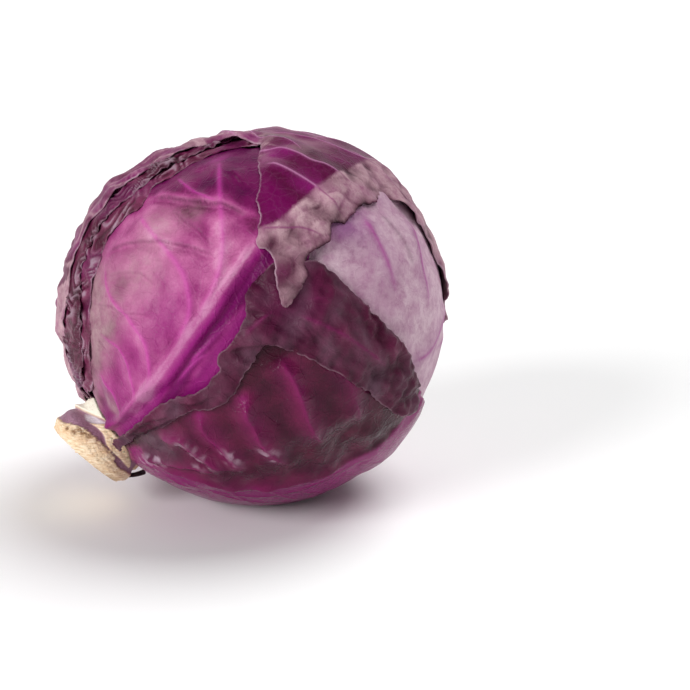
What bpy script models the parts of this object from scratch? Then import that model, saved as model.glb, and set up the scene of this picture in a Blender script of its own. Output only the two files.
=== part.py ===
"""A whole head of red cabbage lying on its side: stem, heart and seven wrapper leaves."""

import math

import bmesh
import bpy
import numpy as np
from mathutils import Vector
from mathutils.geometry import delaunay_2d_cdt

for item in list(bpy.data.objects):
    bpy.data.objects.remove(item, do_unlink=True)

MM = 0.001

# Driving dimensions, in millimetres unless the name or the note says otherwise
HEAD_RADIUS = 79.8          # ball of tight inner leaves
SIDE_SWELL = 3.3            # how far the ball stands out on its upper right side
BELLY_SWELL = 3.4           # how far it stands out underneath
SHOULDER_DIP = 10.2         # how far it falls in at the upper left shoulder
SHOULDER_SPREAD = 0.16      # how wide that fall is, as one minus a cosine
LAYER = 2.0                 # from one wrapper leaf to the next
BLADE = 1.0                 # thickness of a leaf between its veins
MARGIN_BLADE = 0.7          # thickness along its cut edge
MARGIN_REACH = 4.0          # over which it thins toward the edge
MARGIN_RISE = 8.0           # over which the waved edge stands up

RIB_BASE_WIDTH = 7.5        # half width of a midrib where it leaves the stem
RIB_TIP_WIDTH = 3.8         # half width near the leaf's tip
RIB_BASE_HEIGHT = 5.2
RIB_TIP_HEIGHT = 2.8
VEIN_WIDTH = 3.2            # over which a vein's tent falls away
VEIN_FOOT = 4.0             # from a vein's crest to the points along its foot
VEIN_HEIGHT = 3.0
VEIN_TAPER = 0.4            # share of its height that a vein loses toward its end
VEIN_FADE = 0.3             # share of its length over which it dies away at its end
VEIN_START = 0.25           # share of its height eased in where it leaves the midrib
VEIN_RISE = 0.25            # share of its length over which it then comes up to full height
VEIN_STEP = 7.0             # between points of a side vein made by rule
VEIN_STEPS = 14             # points in the longest of them
VEIN_START_ANGLE = 58.0     # degrees from the midrib where it leaves it
VEIN_END_ANGLE = 28.0       # degrees from the midrib once it has bent round
VEIN_BEND_STEPS = 9.0       # points over which it bends
VEIN_MARGIN = 6.0           # kept clear between its end and the leaf's edge
PUCKER_LENGTH = 30.0        # between the soft bumps of a blade
PUCKER_HEIGHT = 0.7

STEM_DROP = 38.96           # degrees that the stem points below the horizontal
STEM_HEADING = 196.7        # degrees from +X that the stem points to, in plan
VIEW_RISE = 17.0            # degrees above the horizontal of the side seen as the front
STEM_NECK = 16.8            # stem radius where the leaves clasp it
STEM_LIP = 19.8             # its widest, at the old leaf scars
STEM_END = 17.6             # stem radius at the cut
STEM_LEAN = 1.9             # how far the cut end sits off the axis, toward OVER
STEM_TOP = 66.5             # from the ball's centre to the stem's inner end
STEM_FLARE = 80.0           # from the ball's centre to where the stem starts to widen
STEM_TURN_IN = 90.0         # from the ball's centre to where it narrows again
STEM_CUT = 95.0             # from the ball's centre to the cut
STEM_EASE = 8.0             # over which it widens and leans
CUT_TILT = 7.0              # degrees between the cut and a square cut
CUT_START = 0.6             # share of the stem's length from which its rings tilt with the cut
CUT_DOME = 0.5              # how far the middle of the cut stands proud
CUT_RINGS = (0.8, 0.55, 0.28)   # rings on the cut, as shares of its radius
SCAR_COUNT = 5              # old leaf scars round the stem
SCAR_REACH = 88.5           # from the ball's centre to the middle of the scars
SCAR_SCATTER = 1.6
SCAR_HALF_TURN = 9.5        # stem radius over this gives a scar's half width
SCAR_HALF_HEIGHT = 3.6
SCAR_DROOP = 2.2            # how far the ends of a scar hang back
SCAR_DEPTH = 0.7
SCAR_LIP = 0.35
SOCKET_ANGLE = 20.0         # degrees from the stem's axis to the rim of the heart's socket
SOCKET_EASE = 8.0           # degrees over which the rim rounds over
SOCKET_GAP = 0.6            # between the stem's inner end and the socket

REST_RADIUS = 20.0          # flat spot that the head rests on
CHART_RADIUS = 84.0         # sphere on which the leaf outlines are measured
DRAPE_SHELF = 8.0           # how far an upper leaf stays raised past a lower leaf's edge
DRAPE_FALL = 16.0           # over which it then comes down
PRESS_SHELF = 3.0           # how far past an upper leaf's edge the veins below stay pressed flat
PRESS_FALL = 8.0            # over which they then rise to full height
COVERED = 0.999             # share pressed flat above which a leaf counts as hidden

POINT_SPACING = 9.0         # between mesh points inside a leaf
HIDDEN_SPACING = 15.0       # between them where other leaves cover it
NEAREST_POINT = 3.0         # least room between two mesh points of a leaf's lines
EDGE_SPACING = 6.0          # between mesh points along a leaf's edge
CURVE_STEPS = 24            # steps between two given points of a curve
REST_SIDES = 14             # mesh points round the flat spot
STEM_SIDES = 48
STEM_RINGS = 13
HEART_SPLITS = 4            # times that the heart's twenty faces are split
SHARP_ANGLE = 24.0          # degrees beyond which a fold reads as an edge


def unit(vector):
    """Return the vector at length one."""
    vector = np.asarray(vector, float)
    return vector / np.linalg.norm(vector)


# Head directions: STEM points down the stem, FRONT and OVER span the plane across it
drop, heading, rise = (math.radians(a) for a in (STEM_DROP, STEM_HEADING, VIEW_RISE))
STEM = np.array([math.cos(drop) * math.cos(heading), math.cos(drop) * math.sin(heading), -math.sin(drop)])
VIEWED_FROM = np.array([0.0, -math.cos(rise), math.sin(rise)])
FRONT = unit(VIEWED_FROM - STEM * (VIEWED_FROM @ STEM))
OVER = np.cross(STEM, FRONT)
SHOULDER = unit([-0.24, 0.27, 0.93])
BULGE = unit([0.9, 0.0, 0.43])


def toward(polar, turn):
    """Direction at a polar angle from the stem and a turn about it, both in degrees."""
    polar, turn = np.radians(polar), np.radians(turn)
    across = np.multiply.outer(np.cos(turn), FRONT) + np.multiply.outer(np.sin(turn), OVER)
    return np.multiply.outer(np.cos(polar), STEM) + across * np.sin(polar)[..., None]


def smooth_step(x):
    """Ease from 0 at x = 0 to 1 at x = 1."""
    x = np.clip(x, 0.0, 1.0)
    return x * x * (3.0 - 2.0 * x)


def ball_radius(directions):
    """Radius of the tight inner ball, in mm, along each direction."""
    swell = SIDE_SWELL * (directions @ BULGE) + BELLY_SWELL * np.maximum(-directions[:, 2], 0.0) ** 2
    dip = SHOULDER_DIP * np.exp(-((1.0 - directions @ SHOULDER) / SHOULDER_SPREAD))
    return HEAD_RADIUS + swell - dip


def ripple(directions, length, seed):
    """Smooth bumps from -1 to 1 with the given length in mm, the same for the same seed."""
    rng = np.random.default_rng(seed)
    total = np.zeros(len(directions))
    count = 7
    for _ in range(count):
        axis = unit(rng.normal(size=3))
        wave = 2.0 * math.pi * HEAD_RADIUS / (length * rng.uniform(0.75, 1.35))
        total += np.sin(wave * (directions @ axis) + rng.uniform(0.0, 2.0 * math.pi))
    return total / math.sqrt(count)


def spline(points, step, closed):
    """Smooth curve through points, resampled at an even step."""
    points = np.asarray(points, float)
    count = len(points)
    pieces = count if closed else count - 1
    fine = []
    for i in range(pieces):
        index = [i - 1, i, i + 1, i + 2]
        index = [k % count for k in index] if closed else [min(max(k, 0), count - 1) for k in index]
        a, b, c, d = points[index]
        for t in np.linspace(0.0, 1.0, CURVE_STEPS, endpoint=False):
            fine.append(0.5 * ((2 * b) + (c - a) * t + (2 * a - 5 * b + 4 * c - d) * t * t
                               + (3 * b - a - 3 * c + d) * t ** 3))
    fine.append(points[0] if closed else points[-1])
    fine = np.array(fine)
    run = np.concatenate([[0.0], np.cumsum(np.linalg.norm(np.diff(fine, axis=0), axis=1))])
    pieces = max(2, round(run[-1] / step))
    marks = np.linspace(0.0, run[-1], pieces + 1)
    even = np.column_stack([np.interp(marks, run, fine[:, k]) for k in range(fine.shape[1])])
    return even[:-1] if closed else even


class Chart:
    """Flat map of the head about one direction: distances from its centre are true, in mm."""

    def __init__(self, polar, turn):
        self.centre = toward(np.array([polar]), np.array([turn]))[0]
        self.along = unit(np.cross(np.cross(self.centre, -STEM), self.centre))
        self.across = np.cross(self.centre, self.along)

    def flatten(self, directions):
        reach = np.arccos(np.clip(directions @ self.centre, -1.0, 1.0))
        u, v = directions @ self.along, directions @ self.across
        scale = CHART_RADIUS * reach / np.maximum(np.hypot(u, v), 1e-9)
        return np.column_stack([u * scale, v * scale])

    def lift(self, flat):
        flat = np.asarray(flat, float)
        length = np.maximum(np.linalg.norm(flat, axis=1), 1e-9)
        reach = length / CHART_RADIUS
        sideways = (flat[:, :1] * self.along + flat[:, 1:] * self.across) / length[:, None]
        return np.cos(reach)[:, None] * self.centre + np.sin(reach)[:, None] * sideways


def line_distance(directions, line, closed):
    """Distance in mm from each direction to a line on the head, and the place along the line."""
    ends = np.roll(line, -1, axis=0) if closed else line[1:]
    starts = line if closed else line[:-1]
    best = np.full(len(directions), 1e9)
    place = np.zeros(len(directions))
    for k, (a, b) in enumerate(zip(starts, ends)):
        span = b - a
        t = np.clip(((directions - a) @ span) / max(span @ span, 1e-12), 0.0, 1.0)
        gap = CHART_RADIUS * np.linalg.norm(directions - a - t[:, None] * span, axis=1)
        near = gap < best
        best[near] = gap[near]
        place[near] = (k + t[near]) / len(starts)
    return best, place


def inside(flat, outline):
    """True for each flat point within the closed outline."""
    crossings = np.zeros(len(flat), int)
    for (ax, ay), (bx, by) in zip(outline, np.roll(outline, -1, axis=0)):
        spans = (ay > flat[:, 1]) != (by > flat[:, 1])
        at = ax + (flat[:, 1] - ay) * (bx - ax) / ((by - ay) if by != ay else 1e-12)
        crossings += spans & (flat[:, 0] < at)
    return crossings % 2 == 1


class Leaf:
    """One wrapper leaf: its chart, outline, veins and the margin's wave."""

    def __init__(self, name, centre, outline, midrib, colour, roughness, lift, waves, veins, seed, rib=1.0):
        self.name, self.colour, self.roughness = name, colour, roughness
        self.lift, self.waves, self.seed, self.rib_share = lift, waves, seed, rib
        self.chart = Chart(*centre)
        points = np.array(outline, float)
        self.outline = spline(self.chart.flatten(toward(points[:, 0], points[:, 1])), EDGE_SPACING, True)
        self.edge = self.chart.lift(self.outline)
        self.midrib, *self.veins = [self.curve(line) for line in [midrib] + veins]

    def curve(self, line):
        """A line of polar angles and turns as an evenly stepped flat curve."""
        points = np.array(line, float)
        return spline(self.chart.flatten(toward(points[:, 0], points[:, 1])), POINT_SPACING, False)

    def outside(self, directions):
        """Distance in mm past the leaf's edge, negative within it, and the place along the edge."""
        gap, place = line_distance(directions, self.edge, True)
        within = inside(self.chart.flatten(directions), self.outline)
        return np.where(within, -gap, gap), place

    def cover(self, directions):
        """How much the leaf lifts and presses what lies at each direction, from 1 under it to 0."""
        gap, _ = self.outside(directions)
        lifted = 1.0 - smooth_step((gap - DRAPE_SHELF) / DRAPE_FALL)
        pressed = 1.0 - smooth_step((gap - PRESS_SHELF) / PRESS_FALL)
        return lifted, pressed


def make_laterals(leaf, count, side):
    """Side veins that leave the midrib at an angle and bend toward the leaf's tip."""
    found = []
    for number in range(count):
        index = 1 + round((number + 0.5) * (len(leaf.midrib) - 3) / count)
        point = leaf.midrib[index]
        ahead = leaf.midrib[index + 1] - leaf.midrib[index - 1]
        path = []
        for k in range(VEIN_STEPS):
            share = min(1.0, k / VEIN_BEND_STEPS)
            bend = math.radians(VEIN_START_ANGLE + (VEIN_END_ANGLE - VEIN_START_ANGLE) * share)
            turn = math.atan2(ahead[1], ahead[0]) + side * bend
            point = point + VEIN_STEP * np.array([math.cos(turn), math.sin(turn)])
            gap, _ = leaf.outside(leaf.chart.lift(point[None]))
            if gap[0] > -VEIN_MARGIN:
                break
            path.append(point)
        if len(path) > 2:
            found.append(np.array(path))
    return found


def rib_height(leaf, directions):
    """Height in mm of the midrib's thickened back, falling away on both sides."""
    gap, place = line_distance(directions, leaf.chart.lift(leaf.midrib), False)
    width = RIB_BASE_WIDTH + (RIB_TIP_WIDTH - RIB_BASE_WIDTH) * place
    height = RIB_BASE_HEIGHT + (RIB_TIP_HEIGHT - RIB_BASE_HEIGHT) * place
    return leaf.rib_share * height * np.exp(-((gap / width) ** 2))


def relief(leaf, directions):
    """Height in mm above the plain blade: the midrib, the tent-like veins and the puckers between them."""
    raised = rib_height(leaf, directions)
    for vein in leaf.veins:
        gap, place = line_distance(directions, leaf.chart.lift(vein), False)
        height = VEIN_HEIGHT * (1.0 - VEIN_TAPER * place) * smooth_step((1.0 - place) / VEIN_FADE)
        height = height * smooth_step(VEIN_START + place / VEIN_RISE)
        raised = np.maximum(raised, height * np.exp(-gap / VEIN_WIDTH))
    pucker = 0.5 + 0.5 * np.clip(ripple(directions, PUCKER_LENGTH, leaf.seed), -1.0, 1.0)
    return raised + PUCKER_HEIGHT * pucker


LEAVES = [
    Leaf("leaf_right", centre=(122, -135), seed=3, lift=1.0, waves=13,
         colour=(0.42, 0.27, 0.35), roughness=0.5,
         outline=[(15, -205), (14, -175), (15, -145), (28, -133), (50, -130), (68, -128), (80, -122),
                  (88, -108), (92, -88), (93, -66), (95, -42), (99, -18), (106, 4), (118, 20), (134, 36),
                  (147, 60), (152, 95), (142, 125), (122, 137), (98, 142), (72, 145), (46, 148), (26, 152)],
         midrib=[(16, -175), (45, -177), (75, -178), (105, -178), (130, -172), (150, -150), (156, -100),
                 (148, -55)],
         veins=[[(142, 8), (137, -1), (133, -17)], [(158, -15), (154, -28), (147, -41)]]),
    Leaf("leaf_front", centre=(75, 12), seed=5, lift=1.5, waves=9,
         colour=(0.41, 0.1, 0.29), roughness=0.4,
         outline=[(15, -38), (14, -5), (15, 28), (28, 48), (48, 62), (70, 68), (92, 70), (112, 66),
                  (126, 54), (132, 38), (133, 20), (127, 9), (117, 3), (108, -8), (104, -22), (98, -35),
                  (80, -44), (60, -44), (40, -44), (24, -43)],
         midrib=[(15, -7), (28, -3.5), (39.6, -0.4), (50.2, 1.4), (62.2, 3.2), (73.6, 5.1), (81.8, 6.4),
                 (92, 8.8), (104, 12), (116, 17), (125, 22)],
         veins=[[(31, -5), (36.5, 10.5), (37, 20), (38, 29)],
                [(44, 3), (48, 9), (52, 18), (51, 27), (48.5, 36)],
                [(50, 3), (58.5, 8.5), (62, 18), (62.3, 31.6), (69, 49)],
                [(74, 8), (80.4, 12), (84, 22.5), (84.7, 38), (89, 52)],
                [(85, 9.5), (93.4, 14.5), (98.5, 19), (104, 27), (116, 51)],
                [(104, 28), (100.6, 39), (101, 52)],
                [(51, -5.3), (61, -6.5), (72, -6), (84, -6)],
                [(78, 0), (88, -3), (99, -6), (108, -12)]]),
    Leaf("leaf_low", centre=(65, -80), seed=13, lift=1.4, waves=9,
         colour=(0.12, 0.025, 0.05), roughness=0.35,
         outline=[(15, -125), (14, -75), (15, -22), (24, -10), (36, -9), (46, -9.5), (56, -10),
                  (65, -12.5), (73, -11.5), (82, -8.5), (90, -6), (99, -12), (106, -24), (111, -42),
                  (112, -62), (110, -85), (105, -110), (95, -135), (80, -152), (60, -160), (40, -160),
                  (24, -152)],
         midrib=[(16, -38), (24, -34), (33, -36), (41, -43), (50, -52), (62, -60), (80, -68), (98, -72)],
         veins=[[(30, -17), (31, -26), (36, -31.6), (45, -36)],
                [(42, -19), (48, -20.3), (48.4, -26.5), (50, -33)],
                [(58.7, -16), (56.7, -23), (57, -31), (57.6, -37), (57, -44)],
                [(72, -21), (70, -25.4), (69.5, -30), (67, -40)],
                [(90, -20), (86, -32), (80, -45)]]),
    Leaf("leaf_torn", centre=(75, -12), seed=8, lift=0.9, waves=17, rib=0.2,
         colour=(0.12, 0.035, 0.06), roughness=0.45,
         outline=[(15, -20), (14, -10), (20, -6.5), (30, -6.5), (38.5, -5.9), (51, -5.5), (59, -7.6),
                  (65, -10.2), (70.3, -9.2), (73.4, -8.8), (76, -5.5), (82.9, -4.8), (87.4, -3),
                  (91, 0.8), (96.2, 3), (103.8, 3.1), (109, -1), (113.5, -6), (115, -20), (116, -38),
                  (114, -55), (110, -66), (105, -70), (101, -58), (99, -42), (94, -24), (87.4, -12),
                  (81.6, -13.4), (75.7, -14.9), (70.4, -17.5), (63.6, -16.7), (59.5, -14.2), (52, -12.8),
                  (46.2, -13.5), (37.3, -11.5), (26, -13)],
         midrib=[(20, -10), (40, -8.5), (60, -12), (80, -9), (93, -7), (103, -22), (108, -45), (107, -62)],
         veins=[]),
    Leaf("leaf_back_inner", centre=(75, 98), seed=21, lift=0.8, waves=16,
         colour=(0.2, 0.06, 0.11), roughness=0.45,
         outline=[(15, 60), (14, 95), (15, 135), (28, 146), (50, 150), (75, 150), (100, 144), (120, 130),
                  (133, 108), (138, 84), (134, 62), (128, 49.7), (123, 54.2), (112.6, 53.2), (107, 53.8),
                  (101, 51.4), (92.6, 52.9), (87, 48), (82, 51), (75, 51.4), (67.5, 49.9), (62.7, 47.6),
                  (52.5, 43.2), (44.7, 37.1), (36, 34.7), (28.4, 32), (20, 44)],
         midrib=[(16, 98), (45, 100), (80, 100), (110, 98), (130, 90)],
         veins=[]),
    Leaf("leaf_back_middle", centre=(75, 106), seed=34, lift=0.8, waves=18,
         colour=(0.18, 0.045, 0.1), roughness=0.45,
         outline=[(15, 70), (14, 105), (15, 145), (28, 154), (50, 158), (78, 157), (103, 150), (122, 135),
                  (134, 112), (137, 86), (131, 68), (122, 60), (109, 57), (100.6, 56.5), (92, 56.3),
                  (85, 56), (77, 58), (69.8, 58.6), (61.4, 55.5), (56.4, 52.4), (53, 47.4), (46.6, 44.1),
                  (38.6, 40), (31, 38), (21, 52)],
         midrib=[(16, 106), (45, 108), (80, 108), (110, 106), (128, 98)],
         veins=[]),
    Leaf("leaf_back_outer", centre=(118, 80), seed=55, lift=2.2, waves=21,
         colour=(0.15, 0.035, 0.08), roughness=0.42,
         outline=[(15, 150), (14, 115), (15, 85), (24, 64), (35, 59), (50, 58), (68, 64), (90, 62),
                  (110, 61), (121, 58), (127.6, 50.6), (126.4, 44.8), (123, 39.3), (119.7, 31.6),
                  (115, 24.5), (112.6, 22), (109.6, 16.7), (106.7, 14), (103.7, 10), (104, 7.4),
                  (103.5, 3.6), (99.4, -2), (97.5, -7.6), (105.3, -6.4), (109.4, -2.9), (112, -1.7),
                  (119.7, -2.3), (122.8, 0), (124.5, 1.2), (129.4, -1.3), (132, -0.6), (136.4, 0),
                  (142, -2.4), (148.8, -3.4), (153.7, -9.6), (155.3, -25), (155.8, -42), (152.5, -54),
                  (149, -68), (143, -84), (135, -102), (122, -122), (108, -140), (92, -158), (76, -174),
                  (58, 172), (40, 165), (25, 160)],
         midrib=[(16, 118), (45, 118), (80, 114), (110, 105), (135, 88), (151, 50), (155, 15)],
         veins=[[(122, 80), (122, 60), (126, 43), (132.3, 31), (136.7, 20.3), (139.5, 11), (142.3, 0)],
                [(126, 72), (130, 51), (134, 43), (134.6, 33)],
                [(123, 33), (127, 20), (128.3, 9), (129.5, 1)],
                [(106.7, 13), (111, 9.4), (115.6, 5.7), (118.5, 0)]]),
]
LATERALS = {
    "leaf_right": (6, 6),
    "leaf_front": (0, 0),
    "leaf_low": (7, 0),
    "leaf_torn": (0, 0),
    "leaf_back_inner": (5, 5),
    "leaf_back_middle": (5, 5),
    "leaf_back_outer": (0, 6),
}
for leaf in LEAVES:
    for side, count in zip((-1.0, 1.0), LATERALS[leaf.name]):
        leaf.veins += make_laterals(leaf, count, side)


def stacked(number, directions):
    """Layers under and over a leaf, each leaf counting 1 where it covers and less as it drapes away."""
    below, over, hidden = np.zeros((3, len(directions)))
    for other, leaf in enumerate(LEAVES):
        lifted, pressed = leaf.cover(directions)
        if other < number:
            below += lifted
        elif other > number:
            over += lifted
            hidden = np.maximum(hidden, pressed)
    return below, over, hidden


def rest_height():
    """Height of the ball's centre, in mm, that leaves a flat spot of REST_RADIUS under the head."""
    down = np.array([[0.0, 0.0, -1.0]])
    number = [leaf.name for leaf in LEAVES].index("leaf_low")
    below, _, _ = stacked(number, down)
    radius = ball_radius(down)[0] + LAYER * (1.0 + below[0])
    return math.sqrt(radius ** 2 - REST_RADIUS ** 2)


CENTRE_HEIGHT = rest_height()


def place_skin(directions, radius, floor):
    """World points in mm at a radius along each direction, held up off the floor."""
    points = directions * radius[:, None]
    points[:, 2] = np.maximum(points[:, 2] + CENTRE_HEIGHT, floor)
    return points


def lattice(spacing):
    """Directions spread evenly over a sphere, about the given spacing in mm apart."""
    count = int(4.0 * math.pi * CHART_RADIUS ** 2 / (spacing ** 2 * 0.866))
    index = np.arange(count) + 0.5
    polar = np.arccos(1.0 - 2.0 * index / count)
    turn = math.pi * (1.0 + math.sqrt(5.0)) * index
    return np.column_stack([np.sin(polar) * np.cos(turn), np.sin(polar) * np.sin(turn), np.cos(polar)])


def offset_line(line, distances):
    """A flat line moved sideways by the distance given for each of its points."""
    ahead = np.gradient(line, axis=0)
    ahead /= np.linalg.norm(ahead, axis=1)[:, None]
    return line + np.column_stack([-ahead[:, 1], ahead[:, 0]]) * distances[:, None]


def leaf_mesh_points(number):
    """Flat points of a leaf, with the edges that must stay: its outline, midrib and veins."""
    leaf = LEAVES[number]
    points = list(leaf.outline)
    edges = [(k, (k + 1) % len(points)) for k in range(len(points))]
    count = len(leaf.midrib)
    half = np.linspace(RIB_BASE_WIDTH, RIB_TIP_WIDTH, count)
    rib = leaf.midrib
    lines = [rib, offset_line(rib, half), offset_line(rib, -half)] + leaf.veins
    for vein in leaf.veins:
        foot = np.full(len(vein), VEIN_FOOT)
        lines += [offset_line(vein, foot), offset_line(vein, -foot)]
    if leaf.name == "leaf_low":
        ring = np.linspace(0.0, 2.0 * math.pi, REST_SIDES, endpoint=False)
        slope = math.asin(REST_RADIUS / math.hypot(REST_RADIUS, CENTRE_HEIGHT))
        circle = np.column_stack([np.sin(slope) * np.cos(ring), np.sin(slope) * np.sin(ring),
                                  np.full(len(ring), -math.cos(slope))])
        flat = leaf.chart.flatten(circle)
        lines = [np.vstack([flat, flat[:1]])] + lines
    for line in lines:
        directions = leaf.chart.lift(line)
        gap, _ = leaf.outside(directions)
        _, _, hidden = stacked(number, directions)
        last = None
        for point, room, covered in zip(line, -gap, hidden):
            near = min(np.hypot(*(point - other)) for other in points)
            if room < 0.45 * EDGE_SPACING or near < NEAREST_POINT or covered > COVERED:
                last = None
                continue
            points.append(point)
            if last is not None:
                edges.append((last, len(points) - 1))
            last = len(points) - 1
    fixed = np.array(points)
    for spacing in (POINT_SPACING, HIDDEN_SPACING):
        spread = lattice(spacing)
        gap, _ = leaf.outside(spread)
        _, _, hidden = stacked(number, spread)
        spread = spread[(gap < -0.6 * EDGE_SPACING) & ((hidden > COVERED) == (spacing == HIDDEN_SPACING))]
        for point in leaf.chart.flatten(spread):
            if np.min(np.hypot(*(fixed - point).T)) > 0.55 * POINT_SPACING:
                points.append(point)
    return points, edges


def split_leaf(points, edges):
    """Triangles over the leaf's flat outline, as point numbers."""
    flat, _, faces, _, _, _ = delaunay_2d_cdt([Vector(p) for p in points], edges, [], 1, 1e-4)
    return np.array([tuple(p) for p in flat]), [tuple(face) for face in faces]


def build_leaf(number):
    """Make one wrapper leaf as a closed thin solid, with the same triangles on both faces."""
    leaf = LEAVES[number]
    flat, faces = split_leaf(*leaf_mesh_points(number))
    directions = leaf.chart.lift(flat)
    below, over, hidden = stacked(number, directions)
    gap, place = leaf.outside(directions)
    free = 1.0 - hidden
    wave = 0.6 + 0.4 * np.sin(2.0 * math.pi * leaf.waves * place)
    ruffle = leaf.lift * wave * np.exp(np.minimum(gap, 0.0) / MARGIN_RISE)
    raise_by = (relief(leaf, directions) + ruffle) * free
    blade = BLADE + (MARGIN_BLADE - BLADE) * np.exp(np.minimum(gap, 0.0) / MARGIN_REACH)
    radius = ball_radius(directions) + LAYER * (1.0 + below)
    outer = place_skin(directions, radius + raise_by, LAYER * over)
    inner_radius = radius + raise_by - rib_height(leaf, directions) * free - blade
    inner = place_skin(directions, inner_radius, LAYER * over + BLADE)
    mesh = bmesh.new()
    top = [mesh.verts.new(Vector(p) * MM) for p in outer]
    under = [mesh.verts.new(Vector(p) * MM) for p in inner]
    sides = set()
    for a, b, c in faces:
        corner_normal = np.cross(outer[b] - outer[a], outer[c] - outer[a])
        if corner_normal @ directions[a] < 0.0:
            b, c = c, b
        mesh.faces.new((top[a], top[b], top[c]))
        mesh.faces.new((under[a], under[c], under[b]))
        sides |= {(a, b), (b, c), (c, a)}
    for a, b in sorted(sides):
        if (b, a) not in sides:
            mesh.faces.new((top[b], top[a], under[a]))
            mesh.faces.new((top[b], under[a], under[b]))
    add_object(leaf.name, mesh, leaf.colour, leaf.roughness)


def add_object(name, mesh, colour, roughness):
    """Turn a bmesh into a named object with its own material."""
    data = bpy.data.meshes.new(name)
    bmesh.ops.recalc_face_normals(mesh, faces=mesh.faces)
    mesh.to_mesh(data)
    mesh.free()
    data.shade_smooth()
    data.set_sharp_from_angle(angle=math.radians(SHARP_ANGLE))
    material = bpy.data.materials.new(name)
    material.use_nodes = True
    shader = material.node_tree.nodes["Principled BSDF"]
    shader.inputs["Base Color"].default_value = (*colour, 1.0)
    shader.inputs["Roughness"].default_value = roughness
    data.materials.append(material)
    item = bpy.data.objects.new(name, data)
    bpy.context.scene.collection.objects.link(item)


def build_heart():
    """The tight ball of inner leaves, hollowed where the stem enters."""
    mesh = bmesh.new()
    bmesh.ops.create_icosphere(mesh, subdivisions=HEART_SPLITS, radius=1.0)
    directions = np.array([unit(vertex.co) for vertex in mesh.verts])
    _, over, _ = stacked(-1, directions)
    radius = ball_radius(directions)
    along = directions @ STEM
    socket = (STEM_TOP - SOCKET_GAP) / np.maximum(along, 0.1)
    polar = np.degrees(np.arccos(np.clip(along, -1.0, 1.0)))
    rim = smooth_step((polar - SOCKET_ANGLE) / SOCKET_EASE)
    radius = socket + (radius - socket) * rim
    for vertex, point in zip(mesh.verts, place_skin(directions, radius, LAYER * over)):
        vertex.co = Vector(point) * MM
    add_object("heart", mesh, (0.3, 0.09, 0.19), 0.45)


def stem_radius(reach, turn):
    """Stem radius in mm at a distance from the head's centre, with crescent leaf scars round it."""
    radius = STEM_NECK + (STEM_LIP - STEM_NECK) * smooth_step((reach - STEM_FLARE) / STEM_EASE)
    radius -= (STEM_LIP - STEM_END) * smooth_step((reach - STEM_TURN_IN) / (STEM_CUT - STEM_TURN_IN))
    for number in range(SCAR_COUNT):
        middle = 2.0 * math.pi * number * 0.618
        away = (turn - middle + math.pi) % (2.0 * math.pi) - math.pi
        height = SCAR_REACH + SCAR_SCATTER * math.sin(2.4 * number)
        across = away * STEM_LIP / SCAR_HALF_TURN
        along = (reach - height - SCAR_DROOP * across * across) / SCAR_HALF_HEIGHT
        distance = math.hypot(across, along)
        radius -= SCAR_DEPTH * (1.0 - smooth_step((distance - 0.7) / 0.35))
        radius += SCAR_LIP * math.exp(-((distance - 1.1) / 0.16) ** 2)
    return radius


def build_stem():
    """The cut stump: leaf scars round it and a cut slightly off square."""
    mesh = bmesh.new()
    rings = []
    for ring in range(STEM_RINGS + 1):
        share = ring / STEM_RINGS
        row = []
        for side in range(STEM_SIDES):
            turn = 2.0 * math.pi * side / STEM_SIDES
            reach = STEM_TOP + (STEM_CUT - STEM_TOP) * share
            radius = stem_radius(reach, turn)
            slant = math.tan(math.radians(CUT_TILT)) * radius * math.sin(turn)
            reach += slant * smooth_step((share - CUT_START) / (1.0 - CUT_START))
            lean = OVER * STEM_LEAN * smooth_step((reach - STEM_FLARE) / STEM_EASE)
            row.append(STEM * reach + lean + radius * (math.cos(turn) * FRONT + math.sin(turn) * OVER))
        rings.append(row)
    cut = rings[-1]
    middle = sum(cut) / len(cut)
    for share in CUT_RINGS:
        bulge = STEM * CUT_DOME * (1.0 - share)
        rings.append([middle + (point - middle) * share + bulge for point in cut])
    lift = np.array([0.0, 0.0, CENTRE_HEIGHT])
    rows = [[mesh.verts.new(Vector(point + lift) * MM) for point in row] for row in rings]
    for upper, lower in zip(rows, rows[1:]):
        for k in range(STEM_SIDES):
            following = (k + 1) % STEM_SIDES
            mesh.faces.new((upper[k], upper[following], lower[following], lower[k]))
    mesh.faces.new(rows[0])
    mesh.faces.new(rows[-1])
    bmesh.ops.triangulate(mesh, faces=mesh.faces)
    add_object("stem", mesh, (0.57, 0.4, 0.3), 0.7)


build_stem()
build_heart()
for number in range(len(LEAVES)):
    build_leaf(number)
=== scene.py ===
"""A head of red cabbage lying on its side: cut stem, tight heart and seven waxed wrapper leaves."""

import math

import bmesh
import bpy
import numpy as np
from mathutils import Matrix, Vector, kdtree
from mathutils.geometry import delaunay_2d_cdt


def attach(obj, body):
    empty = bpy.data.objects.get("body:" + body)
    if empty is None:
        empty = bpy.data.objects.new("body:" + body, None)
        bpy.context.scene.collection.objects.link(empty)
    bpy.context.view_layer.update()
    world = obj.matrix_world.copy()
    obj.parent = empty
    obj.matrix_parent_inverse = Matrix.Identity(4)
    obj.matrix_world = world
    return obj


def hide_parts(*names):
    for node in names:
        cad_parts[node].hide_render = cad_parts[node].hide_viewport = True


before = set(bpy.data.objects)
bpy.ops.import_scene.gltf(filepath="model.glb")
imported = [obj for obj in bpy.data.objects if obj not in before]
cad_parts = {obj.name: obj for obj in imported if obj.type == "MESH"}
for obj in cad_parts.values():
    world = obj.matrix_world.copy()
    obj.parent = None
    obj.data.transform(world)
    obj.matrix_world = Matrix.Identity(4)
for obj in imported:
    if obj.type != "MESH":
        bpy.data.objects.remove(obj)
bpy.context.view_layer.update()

# Stem: the stump of the cabbage's stalk, cut off with a knife, woody and dry at the end.
# Its tan ledges are scars of leaves that were pulled away, with purple skin left between them.
# It is one with the leaves that clasp it, and only its last 20 mm show.
MM = 0.001
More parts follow.
